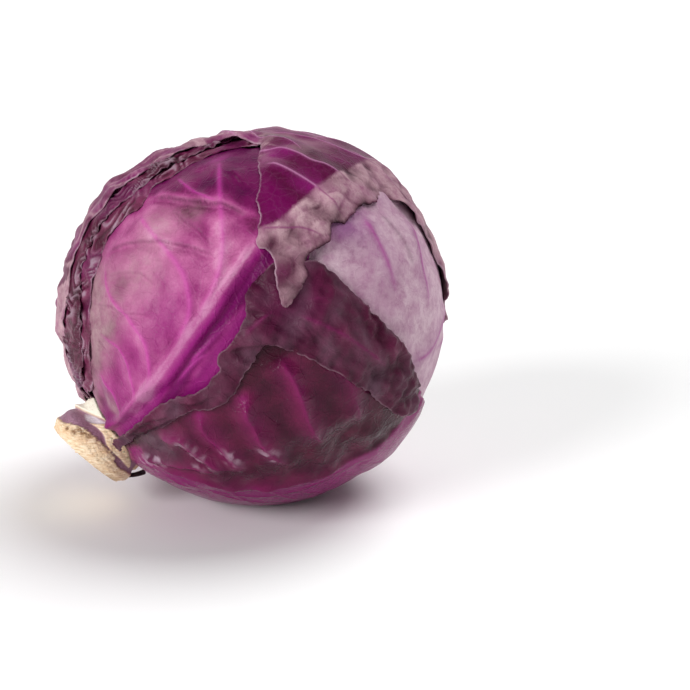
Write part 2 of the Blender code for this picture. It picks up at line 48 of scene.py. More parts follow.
CENTRE_HEIGHT = 81.92        # mm from the floor to the middle of the ball
STEM_DROP = 38.96            # degrees that the stem points below the horizontal
STEM_HEADING = 196.7         # degrees from +X that it points to, in plan
VIEW_RISE = 17.0             # degrees above the horizontal of the side seen as the front
STEM_NECK = 16.8             # radius in mm where the leaves clasp it
STEM_LIP = 19.8              # at the old leaf scars
STEM_END = 17.6              # at the cut
STEM_LEAN = 1.9              # mm that the cut end sits off the axis
STEM_TOP = 66.5              # mm from the ball's middle to the stem's inner end
STEM_FLARE = 80.0            # to where it starts to widen
STEM_TURN_IN = 90.0          # to where it narrows again
STEM_CUT = 95.0              # to the cut
STEM_EASE = 8.0              # mm over which it widens and leans
CUT_TILT = 7.0               # degrees between the cut and a square cut
TURN_MM = 0.34               # mm round the stem for each degree of turn
STEM_SIDES = 320
CUT_DOME = 0.6               # mm that the middle of the cut stands out
BLOCK_RISE = 0.9             # mm that the woody block stands above the skin
LEDGE_RISE = 1.5             # mm that a leaf scar does
STUB_RISE = 2.6              # mm that the stub of a torn stalk does
PIT_DEPTH = 0.7
RIPPLE_WAVES = 9             # waves summed in a ripple
RIPPLE_RADIUS = 80.0         # mm, the ball on which a ripple's length is measured


def unit(vector):
    """The vector at length one."""
    vector = np.asarray(vector, float)
    return vector / np.linalg.norm(vector)


def smooth_step(x):
    """Ease from 0 at x = 0 to 1 at x = 1."""
    x = np.clip(x, 0.0, 1.0)
    return x * x * (3.0 - 2.0 * x)


def hex_colour(text):
    """An sRGB hex colour as a linear one."""
    parts = [int(text[k:k + 2], 16) / 255.0 for k in (1, 3, 5)]
    return tuple(c / 12.92 if c <= 0.04045 else ((c + 0.055) / 1.055) ** 2.4 for c in parts) + (1.0,)


def plug(node, sockets):
    """Fill a node's sockets with values or links; another node stands for its first live output."""
    for socket, value in sockets.items():
        if isinstance(value, bpy.types.Node):
            value = next(output for output in value.outputs if output.enabled)
        if isinstance(value, bpy.types.NodeSocket):
            node.id_data.links.new(value, node.inputs[socket])
        else:
            node.inputs[socket].default_value = value


def add_node(tree, kind, sockets=(), **settings):
    """Add a node with its settings, and plug its sockets."""
    node = tree.nodes.new(kind)
    for name, value in settings.items():
        setattr(node, name, value)
    plug(node, dict(sockets))
    return node


def new_finish(name):
    """A new material, its node tree and the shader in it."""
    material = bpy.data.materials.new(name)
    material.use_nodes = True
    return material, material.node_tree, material.node_tree.nodes["Principled BSDF"]


def ripple(directions, length, seed):
    """Smooth bumps from about -1 to 1 with the given length in mm on the head, the same for the same seed."""
    rng = np.random.default_rng(seed)
    total = np.zeros(len(directions))
    for _ in range(RIPPLE_WAVES):
        axis = unit(rng.normal(size=3))
        wave = 2.0 * math.pi * RIPPLE_RADIUS / (length * rng.uniform(0.7, 1.4))
        total += np.sin(wave * (directions @ axis) + rng.uniform(0.0, 2.0 * math.pi))
    return total / math.sqrt(RIPPLE_WAVES)


def inside(flat, outline):
    """True for each flat point within the closed outline."""
    crossings = np.zeros(len(flat), int)
    for (ax, ay), (bx, by) in zip(outline, np.roll(outline, -1, axis=0)):
        spans = (ay > flat[:, 1]) != (by > flat[:, 1])
        at = ax + (flat[:, 1] - ay) * (bx - ax) / ((by - ay) if by != ay else 1e-12)
        crossings += spans & (flat[:, 0] < at)
    return crossings % 2 == 1


def gap_within(flat, polygon):
    """Distance of each flat point from a polygon's sides, positive inside it and negative outside."""
    polygon = np.asarray(polygon, float)
    best = np.full(len(flat), 1e9)
    for a, b in zip(polygon, np.roll(polygon, -1, axis=0)):
        span = b - a
        t = np.clip(((flat - a) @ span) / max(span @ span, 1e-12), 0.0, 1.0)
        best = np.minimum(best, np.linalg.norm(flat - a - t[:, None] * span, axis=1))
    return np.where(inside(flat, polygon), best, -best)


def grid_faces(rows, columns, closed=False):
    """Quads between neighbouring rows of points, with the last column joined to the first where closed."""
    corners = []
    for row in range(rows - 1):
        for k in range(columns if closed else columns - 1):
            a, b = row * columns + k, row * columns + (k + 1) % columns
            corners.append((a, b, b + columns, a + columns))
    return corners


def make_piece(name, points, faces, material, turned_out=False, **marks):
    """A smooth closed mesh of points in mm, with its marks stored on the points."""
    mesh = bpy.data.meshes.new(name)
    mesh.from_pydata((np.asarray(points) * MM).tolist(), [], [list(face) for face in faces])
    if not turned_out:
        shell = bmesh.new()
        shell.from_mesh(mesh)
        bmesh.ops.recalc_face_normals(shell, faces=shell.faces)
        shell.to_mesh(mesh)
        shell.free()
    mesh.shade_smooth()
    for mark, values in marks.items():
        values = np.asarray(values, np.float32)
        mesh.attributes.new(mark, "FLOAT_VECTOR", "POINT").data.foreach_set("vector", values.ravel())
    mesh.materials.append(material)
    piece = bpy.data.objects.new(name, mesh)
    bpy.context.scene.collection.objects.link(piece)
    return piece


drop, heading, rise = (math.radians(a) for a in (STEM_DROP, STEM_HEADING, VIEW_RISE))
STEM = np.array([math.cos(drop) * math.cos(heading), math.cos(drop) * math.sin(heading), -math.sin(drop)])
VIEWED_FROM = np.array([0.0, -math.cos(rise), math.sin(rise)])
FRONT = unit(VIEWED_FROM - STEM * (VIEWED_FROM @ STEM))
OVER = np.cross(STEM, FRONT)

# Scars and skin are drawn on the stem by turn in degrees, 0 toward FRONT, and mm from the ball's middle
BLOCK_EDGE = [
    (-180, 86.5), (-150, 88), (-120, 87), (-90, 86.5), (-61, 86.4), (-47, 87.2), (-34, 86.2), (-31, 84.6),
    (-13, 84.2), (6, 85), (21, 85.6), (33, 87.2), (50, 90.2), (86, 91.5), (120, 89), (150, 87), (180, 86.5),
]
LEDGES = [
    [(32, 83.1), (25, 80.4), (16, 78), (1, 77.7), (-17, 77.4), (-31, 77.8), (-49, 80), (-61, 82.1),
     (-67, 84.4), (-39, 83.7), (-19, 84), (-9, 83.7), (2, 82.1), (11, 81.7), (22, 82)],
    [(-150, 83), (-140, 79), (-120, 77), (-100, 77.5), (-84, 80), (-80, 83.5), (-100, 84.5), (-125, 83.5)],
    [(175, 84), (165, 80), (145, 78), (125, 78.5), (112, 81.5), (118, 85), (140, 84), (160, 84.5)],
]
STUB = [(150, 73), (110, 73.5), (66, 74.6), (53, 75), (32, 76.1), (19, 77), (39, 79.8), (60, 82.3),
        (86, 84.5), (104, 84), (120, 80)]
BLOOM_PATCH = [(54, 82.6), (40, 79.9), (20, 78.3), (29, 82.2), (40, 83.5)]
PITS = [(40, 90.7, 1.0), (28, 89.6, 1.4), (26, 87.7, 1.3), (20, 87.4, 1.5), (12, 86.8, 1.4), (-96, 89, 1.2),
        (160, 90, 1.6)]      # the third value is the width in mm

stem_turns = np.linspace(-180.0, 180.0, STEM_SIDES, endpoint=False)
stem_reaches = np.concatenate([np.linspace(STEM_TOP, 73.0, 5), np.linspace(73.4, STEM_CUT, 56)])
turn, reach = (grid.ravel() for grid in np.meshgrid(stem_turns, stem_reaches))
on_stem = np.column_stack([turn * TURN_MM, reach])
angle = np.radians(turn)
ring_side = np.cos(angle)[:, None] * FRONT + np.sin(angle)[:, None] * OVER
grain = ripple(ring_side * 0.3 + STEM * (reach * 0.02)[:, None], 1.4, 3)
block = reach - np.interp(turn, *zip(*BLOCK_EDGE)) + 0.25 * grain
*ledges, stub, bloom_patch = [
    gap_within(on_stem, np.array(shape) * (TURN_MM, 1.0)) for shape in (*LEDGES, STUB, BLOOM_PATCH)]
ledge = np.max(ledges, axis=0)
pit = np.max([np.exp(-(((turn - at) * TURN_MM / (1.3 * wide)) ** 2) - ((reach - far) / wide) ** 2)
              for at, far, wide in PITS], axis=0)

stem_radius = STEM_NECK + (STEM_LIP - STEM_NECK) * smooth_step((reach - STEM_FLARE) / STEM_EASE)
stem_radius -= (STEM_LIP - STEM_END) * smooth_step((reach - STEM_TURN_IN) / (STEM_CUT - STEM_TURN_IN)) ** 1.6
stem_radius += BLOCK_RISE * smooth_step(block / 0.8 + 0.5) - 0.5
stem_radius += LEDGE_RISE * smooth_step(ledge / 1.2 + 0.3) * (1.0 - 0.05 * (reach - 77.0))
stem_radius += STUB_RISE * smooth_step(stub / 1.2 + 0.4)
gnawed = 0.6 + 0.4 * ripple(ring_side * 0.6 + STEM * (reach * 0.03)[:, None], 1.6, 8)
stem_radius += 0.12 * grain - PIT_DEPTH * pit * gnawed
slant = np.tan(np.radians(CUT_TILT)) * stem_radius * np.sin(angle)
share = (reach - STEM_TOP) / (STEM_CUT - STEM_TOP)
lie = reach + slant * smooth_step((share - 0.6) / 0.4)
lean = OVER * (STEM_LEAN * smooth_step((lie - STEM_FLARE) / STEM_EASE))[:, None]
stem_points = STEM * lie[:, None] + lean + ring_side * stem_radius[:, None]
wood = smooth_step(np.maximum(np.maximum(block, ledge), stub) / 0.5 + 0.5)
brown = np.maximum(np.exp(-((block / 0.8) ** 2)) * 0.5 * (turn > -60) * (turn < 30), pit)
stem_marks = np.column_stack([wood, smooth_step(stub / 0.6), np.clip(brown, 0.0, 1.0)])
dust = smooth_step(bloom_patch / 1.2 + 0.6) * (1.0 - wood)

# The cut itself: rings that step in from the last one, slightly domed, with the middle as one point
cut = stem_points[-STEM_SIDES:]
middle = cut.mean(axis=0)
cut_rings = []
for inset in (0.985, 0.93, 0.86, 0.79, 0.72, 0.65, 0.56, 0.46, 0.35, 0.24, 0.12):
    rough = 0.35 * ripple(ring_side[-STEM_SIDES:] * inset * 0.25 + STEM * inset, 2.2, 5) * inset
    domed = CUT_DOME * (1.0 - inset) + rough * (inset < 0.98)
    cut_rings.append(middle + (cut - middle) * inset + STEM * domed[:, None])
stem_points = np.vstack([stem_points] + cut_rings + [middle[None] + STEM * CUT_DOME, STEM[None] * STEM_TOP])
stem_points[:, 2] += CENTRE_HEIGHT
stem_faces = grid_faces(len(stem_reaches) + len(cut_rings), STEM_SIDES, closed=True)
dome_point, inner_point = len(stem_points) - 2, len(stem_points) - 1
for k in range(STEM_SIDES):
    following = (k + 1) % STEM_SIDES
    stem_faces += [(dome_point - STEM_SIDES + k, dome_point - STEM_SIDES + following, dome_point),
                   (following, k, inner_point)]
on_cut = len(stem_points) - len(stem_marks)
stem_marks = np.vstack([stem_marks, np.tile((1.0, 0.0, 0.0), (on_cut, 1))])
dust = np.concatenate([dust, np.zeros(on_cut)])

# Dry stalk: woody pith shaved by a knife, matt, with fibres along the cut, over satin purple skin
FIBRE, MOTTLE, GRIT = 3.2, 4.5, 0.9   # mm between fibres, stains and specks
stalk, tree, shader = new_finish("dry_cut_stalk")
place = add_node(tree, "ShaderNodeTexCoord").outputs["Object"]
along_cut = Vector(STEM).to_track_quat("Z", "Y").inverted().to_euler()
turned = add_node(tree, "ShaderNodeMapping", {
    "Vector": place, "Rotation": along_cut, "Scale": (1.0, 1.0, 6.0)})
fibre = add_node(tree, "ShaderNodeTexNoise", {"Vector": turned, "Scale": 1 / (FIBRE * MM), "Detail": 6.0,
                                              "Roughness": 0.62, "Distortion": 0.4})
mottle = add_node(tree, "ShaderNodeTexNoise", {"Vector": place, "Scale": 1 / (MOTTLE * MM), "Detail": 5.0})
grit = add_node(tree, "ShaderNodeTexNoise", {"Vector": place, "Scale": 1 / (GRIT * MM), "Detail": 3.0})
marks = add_node(tree, "ShaderNodeAttribute", attribute_name="stalk").outputs["Vector"]
wood_mark, stub_mark, brown_mark = add_node(tree, "ShaderNodeSeparateXYZ", {0: marks}).outputs
dust_mark = add_node(tree, "ShaderNodeAttribute", attribute_name="dust").outputs["Fac"]
patchy = add_node(tree, "ShaderNodeMapRange", {
    "Value": mottle, "From Min": 0.42, "From Max": 0.66, "To Max": 0.55})
scabbed = add_node(tree, "ShaderNodeMath", {0: brown_mark, 1: grit}, operation="MULTIPLY")
scabbed = add_node(tree, "ShaderNodeMapRange", {
    "Value": scabbed, "From Min": 0.12, "From Max": 0.5, "To Max": 0.9})
wooden = add_node(tree, "ShaderNodeValToRGB", {0: fibre})
for stop, (at, shade) in zip(wooden.color_ramp.elements, ((0.3, "#BC9870"), (0.68, "#FFF2DC"))):
    stop.position, stop.color = at, hex_colour(shade)
wooden.color_ramp.elements.new(0.48).color = hex_colour("#ECD0AC")
for share, shade in ((patchy, "#DEB48A"), (stub_mark, "#FFF6E4"), (scabbed, "#7C5230")):
    wooden = add_node(tree, "ShaderNodeMix", {0: share, 6: wooden, 7: hex_colour(shade)}, data_type="RGBA")
skin = hex_colour("#7A465E")
for share, shade in ((mottle, "#B48AA0"), (dust_mark, "#CFC2CC")):
    skin = add_node(tree, "ShaderNodeMix", {0: share, 6: skin, 7: hex_colour(shade)}, data_type="RGBA")
relief = add_node(tree, "ShaderNodeMath", {0: fibre, 1: 0.5, 2: grit}, operation="MULTIPLY_ADD")
plug(shader, {
    "Base Color": add_node(tree, "ShaderNodeMix", {0: wood_mark, 6: skin, 7: wooden}, data_type="RGBA"),
    "Normal": add_node(tree, "ShaderNodeBump", {"Height": relief, "Distance": 0.45 * MM, "Strength": 0.8}),
    "Roughness": add_node(tree, "ShaderNodeMapRange", {"Value": wood_mark, "To Min": 0.42, "To Max": 0.78}),
})
stem = make_piece("cut_stem", stem_points, stem_faces, stalk, stalk=stem_marks,
                  dust=np.column_stack([dust, dust, dust]))
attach(stem, "root")
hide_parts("stem")

# Strand ends: the pale ends of the leaf stalk's veins, which stay as a row of small dots on each scar.
# They are tougher than the flesh round them, so they stand a little proud of the dried ledge.
def strand_ends_tree(finish):
    """Nodes that set a small flattened dome on each point, facing out along its outward mark."""
    tree = bpy.data.node_groups.new("StrandEnds", "GeometryNodeTree")
    tree.interface.new_socket("Points", in_out="INPUT", socket_type="NodeSocketGeometry")
    tree.interface.new_socket("Dot Radius", in_out="INPUT", socket_type="NodeSocketFloat")
    tree.interface.new_socket("Seed", in_out="INPUT", socket_type="NodeSocketInt")
    tree.interface.new_socket("Dots", in_out="OUTPUT", socket_type="NodeSocketGeometry")
    given = add_node(tree, "NodeGroupInput").outputs
    dome = add_node(tree, "GeometryNodeMeshUVSphere", {
        "Segments": 12, "Rings": 7, "Radius": given["Dot Radius"]})
    flat = add_node(tree, "GeometryNodeTransform", {0: dome, "Scale": (1.0, 0.8, 0.45)})
    outward = add_node(tree, "GeometryNodeInputNamedAttribute", {"Name": "outward"}, data_type="FLOAT_VECTOR")
    facing = add_node(tree, "FunctionNodeAlignRotationToVector", {"Vector": outward}, axis="Z")
    sizes = add_node(tree, "FunctionNodeRandomValue", {2: 0.65, 3: 1.25, "Seed": given["Seed"]},
                     data_type="FLOAT")
    dots = add_node(tree, "GeometryNodeInstanceOnPoints", {
        "Points": given["Points"], "Instance": flat, "Rotation": facing, "Scale": sizes})
    real = add_node(tree, "GeometryNodeRealizeInstances", {0: dots})
    finished = add_node(tree, "GeometryNodeSetMaterial", {"Geometry": real, "Material": finish})
    add_node(tree, "NodeGroupOutput", {0: finished})
    return tree


def nearest_on_stem(turn_at, reach_at):
    """Place in mm on the stem's skin at a turn and a reach, and the way it faces."""
    best = np.argmin(((turn - turn_at) * TURN_MM) ** 2 + (reach - reach_at) ** 2)
    return stem_points[best], ring_side[best]


DOT_RADIUS = 0.55            # mm
SPECK = 0.5                  # mm between the specks on them
DOTS = [(14, 79.7), (7, 79.9), (-4, 80.3), (-19, 81.6), (-31, 80.6), (-44, 81.6), (-100, 80.5), (-112, 80),
        (-124, 80.2), (-136, 81.3), (125, 81.5), (137, 80.6), (150, 81), (161, 82)]
# Vein ends: dried fibre, matt, paler and greener than the tan ledge that they stand on
fibre_end, tree, shader = new_finish("dried_vein_ends")
place = add_node(tree, "ShaderNodeTexCoord").outputs["Object"]
speck = add_node(tree, "ShaderNodeTexNoise", {"Vector": place, "Scale": 1 / (SPECK * MM)})
fibrous = add_node(tree, "ShaderNodeMix", {0: speck, 6: hex_colour("#9C9470"), 7: hex_colour("#E9DDBB")},
                   data_type="RGBA")
plug(shader, {"Base Color": fibrous, "Roughness": 0.7})
dot_points, dot_ways = zip(*[nearest_on_stem(t, r) for t, r in DOTS])
seeds = bpy.data.meshes.new("strand_ends")
seeds.from_pydata((np.array(dot_points) * MM).tolist(), [], [])
seeds.attributes.new("outward", "FLOAT_VECTOR", "POINT").data.foreach_set("vector", np.ravel(dot_ways))
strand_ends = bpy.data.objects.new("strand_ends", seeds)
bpy.context.scene.collection.objects.link(strand_ends)
setting = strand_ends.modifiers.new("strand_ends", "NODES")
setting.node_group = strand_ends_tree(fibre_end)
sockets = {item.name: item.identifier for item in setting.node_group.interface.items_tree}
setting[sockets["Dot Radius"]] = DOT_RADIUS * MM
setting[sockets["Seed"]] = 4
made = bpy.data.meshes.new_from_object(strand_ends.evaluated_get(bpy.context.evaluated_depsgraph_get()))
strand_ends.modifiers.clear()
strand_ends.data = made
made.shade_smooth()
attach(strand_ends, "root")

# Heart: the ball of small pale leaves packed tight inside, of which the wrappers hide everything.
# It fills the head and is hollowed a little where the stem's core runs into it.
# Leaf flesh: smooth, satin and mauve, with the folded leaves' edges as fine wavy lines
FOLDED_EDGES = 9.0           # mm, a wave of this scale comes every 2.8 mm
heart_skin, tree, shader = new_finish("packed_leaf_flesh")
place = add_node(tree, "ShaderNodeTexCoord").outputs["Object"]
layers = add_node(tree, "ShaderNodeTexWave", {
    "Vector": place, "Scale": 1 / (FOLDED_EDGES * MM), "Distortion": 6.0, "Detail": 3.0, "Detail Scale": 1.5,
}).outputs["Fac"]
packed = add_node(tree, "ShaderNodeMix", {0: layers, 6: hex_colour("#6B2F5E"), 7: hex_colour("#C9A3C4")},
                  data_type="RGBA")
folded = add_node(tree, "ShaderNodeBump", {"Height": layers, "Distance": 0.5 * MM})
plug(shader, {"Base Color": packed, "Normal": folded, "Roughness": 0.45})
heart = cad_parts["heart"]
heart.data.materials.clear()
heart.data.materials.append(heart_skin)

# How the seven wrapper leaves lap: each is cut to its outline and laid on those before it. The ball that
# they clasp is a little fuller at the right and underneath, and a little fallen in at the upper left.
# A leaf is given as its middle and its outline, by polar angle from the stem and turn about it in degrees.
HEAD_RADIUS = 79.8           # mm
SIDE_SWELL = 3.3
BELLY_SWELL = 3.4
SHOULDER_DIP = 10.2
SHOULDER_SPREAD = 0.16       # as one minus a cosine
SHOULDER = unit([-0.24, 0.27, 0.93])
BULGE = unit([0.9, 0.0, 0.43])
LAYER = 2.0                  # mm from one leaf to the next
CHART_RADIUS = 84.0          # mm, sphere on which the outlines are measured
DRAPE_SHELF = 3.0            # mm that an upper leaf stays raised past a lower leaf's edge
DRAPE_FALL = 12.0            # over which it then comes down
LAP_STEP = 6.0               # mm between points of an outline where it only tells what lies under it
OUTLINES = {
    "leaf_right": ((122, -135), [
        (15, -205), (14, -175), (15, -145), (28, -133), (50, -130), (68, -128), (80, -122), (88, -108),
        (92, -88), (93, -66), (95, -42), (99, -18), (106, 4), (118, 20), (134, 36), (147, 60), (152, 95),
        (142, 125), (122, 137), (98, 142), (72, 145), (46, 148), (26, 152)]),
    "leaf_front": ((75, 12), [
        (15, -38), (14, -5), (15, 28), (28, 48), (48, 62), (70, 68), (92, 70), (112, 66), (126, 54),
        (132, 38), (133, 20), (127, 9), (117, 3), (108, -8), (104, -22), (98, -35), (80, -44), (60, -44),
        (40, -44), (24, -43)]),
    "leaf_low": ((65, -80), [
        (15, -125), (14, -75), (15, -22), (24, -10), (36, -9), (46, -9.5), (56, -10), (65, -12.5),
        (73, -11.5), (82, -8.5), (90, -6), (99, -12), (106, -24), (111, -42), (112, -62), (110, -85),
        (105, -110), (95, -135), (80, -152), (60, -160), (40, -160), (24, -152)]),
    "leaf_torn": ((75, -12), [
        (15, -20), (14, -10), (20, -6.5), (30, -6.5), (38.5, -5.9), (51, -5.5), (59, -7.6), (65, -10.2),
        (70.3, -9.2), (73.4, -8.8), (76, -5.5), (82.9, -4.8), (87.4, -3), (91, 0.8), (96.2, 3),
        (103.8, 3.1), (109, -1), (113.5, -6), (115, -20), (116, -38), (114, -55), (110, -66), (105, -70),
        (101, -58), (99, -42), (94, -24), (87.4, -12), (81.6, -13.4), (75.7, -14.9), (70.4, -17.5),
        (63.6, -16.7), (59.5, -14.2), (52, -12.8), (46.2, -13.5), (37.3, -11.5), (26, -13)]),
    "leaf_back_inner": ((75, 98), [
        (15, 60), (14, 95), (15, 135), (28, 146), (50, 150), (75, 150), (100, 144), (120, 130),
        (133, 108), (138, 84), (134, 62), (128, 49.7), (123, 54.2), (112.6, 53.2), (107, 53.8),
        (101, 51.4), (92.6, 52.9), (87, 48), (82, 51), (75, 51.4), (67.5, 49.9), (62.7, 47.6),
        (52.5, 43.2), (44.7, 37.1), (36, 34.7), (28.4, 32), (20, 44)]),
    "leaf_back_middle": ((75, 106), [
        (15, 70), (14, 105), (15, 145), (28, 154), (50, 158), (78, 157), (103, 150), (122, 135),
        (134, 112), (137, 86), (131, 68), (122, 60), (109, 57), (100.6, 56.5), (92, 56.3), (85, 56),
        (77, 58), (69.8, 58.6), (61.4, 55.5), (56.4, 52.4), (53, 47.4), (46.6, 44.1), (38.6, 40),
        (31, 38), (21, 52)]),
    "leaf_back_outer": ((118, 80), [
        (15, 150), (14, 115), (15, 85), (24, 64), (35, 59), (50, 58), (68, 64), (90, 62), (110, 61),
        (121, 58), (127.6, 50.6), (126.4, 44.8), (123, 39.3), (119.7, 31.6), (115, 24.5), (112.6, 22),
        (109.6, 16.7), (106.7, 14), (103.7, 10), (104, 7.4), (103.5, 3.6), (99.4, -2), (97.5, -7.6),
        (105.3, -6.4), (109.4, -2.9), (112, -1.7), (119.7, -2.3), (122.8, 0), (124.5, 1.2), (129.4, -1.3),
        (132, -0.6), (136.4, 0), (142, -2.4), (148.8, -3.4), (153.7, -9.6), (155.3, -25), (155.8, -42),
        (152.5, -54), (149, -68), (143, -84), (135, -102), (122, -122), (108, -140), (92, -158),
        (76, -174), (58, 172), (40, 165), (25, 160)]),
}


def toward(places):
    """Directions of places given as polar angle from the stem and turn about it, in degrees."""
    polar, turn = np.radians(np.array(places, float).T)
    across = np.multiply.outer(np.cos(turn), FRONT) + np.multiply.outer(np.sin(turn), OVER)
    return np.multiply.outer(np.cos(polar), STEM) + across * np.sin(polar)[:, None]


def polar_turn(directions):
    """Polar angles and turns in degrees of directions."""
    polar = np.degrees(np.arccos(np.clip(directions @ STEM, -1.0, 1.0)))
    return np.column_stack([polar, np.degrees(np.arctan2(directions @ OVER, directions @ FRONT))])


def spline(points, step, closed=False):
    """Smooth curve through points, resampled at an even step."""
    points = np.asarray(points, float)
    count = len(points)
    t = np.linspace(0.0, 1.0, 16, endpoint=False)[:, None]
    fine = []
    for i in range(count if closed else count - 1):
        index = np.array([i - 1, i, i + 1, i + 2])
        a, b, c, d = points[index % count if closed else np.clip(index, 0, count - 1)]
        fine.append(0.5 * (2 * b + (c - a) * t + (2 * a - 5 * b + 4 * c - d) * t ** 2
                           + (3 * b - a - 3 * c + d) * t ** 3))
    fine = np.vstack(fine + [points[:1] if closed else points[-1:]])
    run = np.concatenate([[0.0], np.cumsum(np.linalg.norm(np.diff(fine, axis=0), axis=1))])
    marks = np.linspace(0.0, run[-1], max(2, round(run[-1] / step)) + 1)
    even = np.column_stack([np.interp(marks, run, fine[:, k]) for k in range(fine.shape[1])])
    return even[:-1] if closed else even


def line_gap(directions, line, closed=False):
    """Distance in mm of each direction from a line on the head, positive on its left, and the share along."""
    count = len(line)
    nearest = np.concatenate([np.argmax(part @ line.T, axis=1) for part in np.array_split(directions, 8)])
    best = np.full(len(directions), 1e9)
    side, place = np.ones((2, len(directions)))
    for start in (nearest - 1, nearest):
        start = start % count if closed else np.clip(start, 0, count - 2)
        a, b = line[start], line[(start + 1) % count]
        span = b - a
        t = np.sum((directions - a) * span, axis=1) / np.maximum(np.sum(span * span, axis=1), 1e-12)
        t = np.clip(t, 0.0, 1.0)
        gap = CHART_RADIUS * np.linalg.norm(directions - a - t[:, None] * span, axis=1)
        near = gap < best
        best = np.where(near, gap, best)
        left = np.where(np.sum(directions * np.cross(a, b), axis=1) < 0.0, -1.0, 1.0)
        side = np.where(near, left, side)
        place = np.where(near, (start + t) / (count if closed else count - 1), place)
    return side * best, place


class Lap:
    """Where one wrapper leaf lies: a flat map about its middle, with its outline in mm."""

    def __init__(self, middle, outline):
        self.middle = toward([middle])[0]
        self.along = unit(np.cross(np.cross(self.middle, -STEM), self.middle))
        self.across = np.cross(self.middle, self.along)
        self.given = outline
        self.outline = self.draw(outline, LAP_STEP, closed=True)
        self.edge = self.lift(self.outline)

    def draw(self, places, step, closed=False):
        """Smooth flat line through places given as polar angle and turn, with its points a step apart."""
        return spline(self.flatten(toward(places)), step, closed)

    def flatten(self, directions):
        """Places of directions on the flat map."""
        reach = np.arccos(np.clip(directions @ self.middle, -1.0, 1.0))
        u, v = directions @ self.along, directions @ self.across
        scale = CHART_RADIUS * reach / np.maximum(np.hypot(u, v), 1e-9)
        return np.column_stack([u * scale, v * scale])

    def lift(self, flat):
        """Directions of places on the flat map."""
        length = np.maximum(np.linalg.norm(flat, axis=1), 1e-9)
        reach = length / CHART_RADIUS
        sideways = (flat[:, :1] * self.along + flat[:, 1:] * self.across) / length[:, None]
        return np.cos(reach)[:, None] * self.middle + np.sin(reach)[:, None] * sideways

    def outside(self, directions):
        """Distance in mm past the leaf's edge, negative within it."""
        gap = np.abs(line_gap(directions, self.edge, closed=True)[0])
        return np.where(inside(self.flatten(directions), self.outline), -gap, gap)


LAPS = {name: Lap(*shape) for name, shape in OUTLINES.items()}


def stacked(name, directions):
    """Layers under and over a leaf at each direction, and the gap in mm to the nearest leaf over it."""
    below, over = np.zeros((2, len(directions)))
    uncovered = np.full(len(directions), 1e9)
    order = list(LAPS)
    for other, lap in LAPS.items():
        if other == name:
            continue
        gap = lap.outside(directions)
        lifted = 1.0 - smooth_step((gap - DRAPE_SHELF) / DRAPE_FALL)
        if order.index(other) < order.index(name):
            below += lifted
        else:
            over += lifted
            uncovered = np.minimum(uncovered, gap)
    return below, over, uncovered


def lattice(spacing):
    """Directions spread evenly over a sphere, about the given spacing in mm apart."""
    count = int(4.0 * math.pi * CHART_RADIUS ** 2 / (spacing ** 2 * 0.866))
    index = np.arange(count) + 0.5
    polar = np.arccos(1.0 - 2.0 * index / count)
    around = math.pi * (1.0 + math.sqrt(5.0)) * index
    return np.column_stack([np.sin(polar) * np.cos(around), np.sin(polar) * np.sin(around), np.cos(polar)])


def beside(line, offset, closed=False):
    """Points of a flat line, moved to its left by offsets in mm."""
    ahead = np.roll(line, -1, axis=0) - np.roll(line, 1, axis=0) if closed else np.gradient(line, axis=0)
    ahead /= np.linalg.norm(ahead, axis=1)[:, None]
    return line + np.column_stack([-ahead[:, 1], ahead[:, 0]]) * np.reshape(offset, (-1, 1))


def point_tree(points):
    """Search tree of flat points."""
    tree = kdtree.KDTree(len(points))
    for index, point in enumerate(points):
        tree.insert((*point, 0.0), index)
    tree.balance()
    return tree


def ends_fade(place, start, end):
    """Mark that rises over the first share of a line, and falls over the last."""
    return smooth_step(place / start) * smooth_step((1.0 - place) / end)


PRESS_SHELF = 2.5            # mm past an upper leaf's edge where the veins below stay pressed flat
PRESS_FALL = 7.0             # over which they then rise to full height
HIDDEN_REACH = 7.0           # mm under an upper leaf beyond which a leaf's mesh may be coarse
HIDDEN_SPACING = 4.0         # mm
EDGE_STEP = 1.15             # mm between points of a leaf's edge
LINE_STEP = 1.4              # mm between points of a vein or a fold
VEIN_ROWS = (0, -0.7, 0.7, -1.5, 1.5)   # rows of points beside a vein, in strokes
FOLD_ROWS = (0.0, 0.7, -0.7, -1.5)      # and beside a fold, in mm
EDGE_CLEAR = 0.7             # mm round the edge with no such row
EDGE_WAVES = 12              # waves summed along an edge
INSIDE_ONLY = 1              # the triangulation keeps what lies inside the outline
FAR_SIDE = -0.93             # cosine from a leaf's middle beyond which it never reaches
TIP_THINNING = 0.35          # share of its width and height that a vein loses by its tip
FOLD_REACH = 7.0             # mm over which a fold's high side comes down
TUCK_REACH = 4.0             # mm from its edge over which a leaf is tucked down
BLADE = 1.0                  # mm thick
EDGE_REACH = 3.0             # mm over which the blade thins to half at its edge


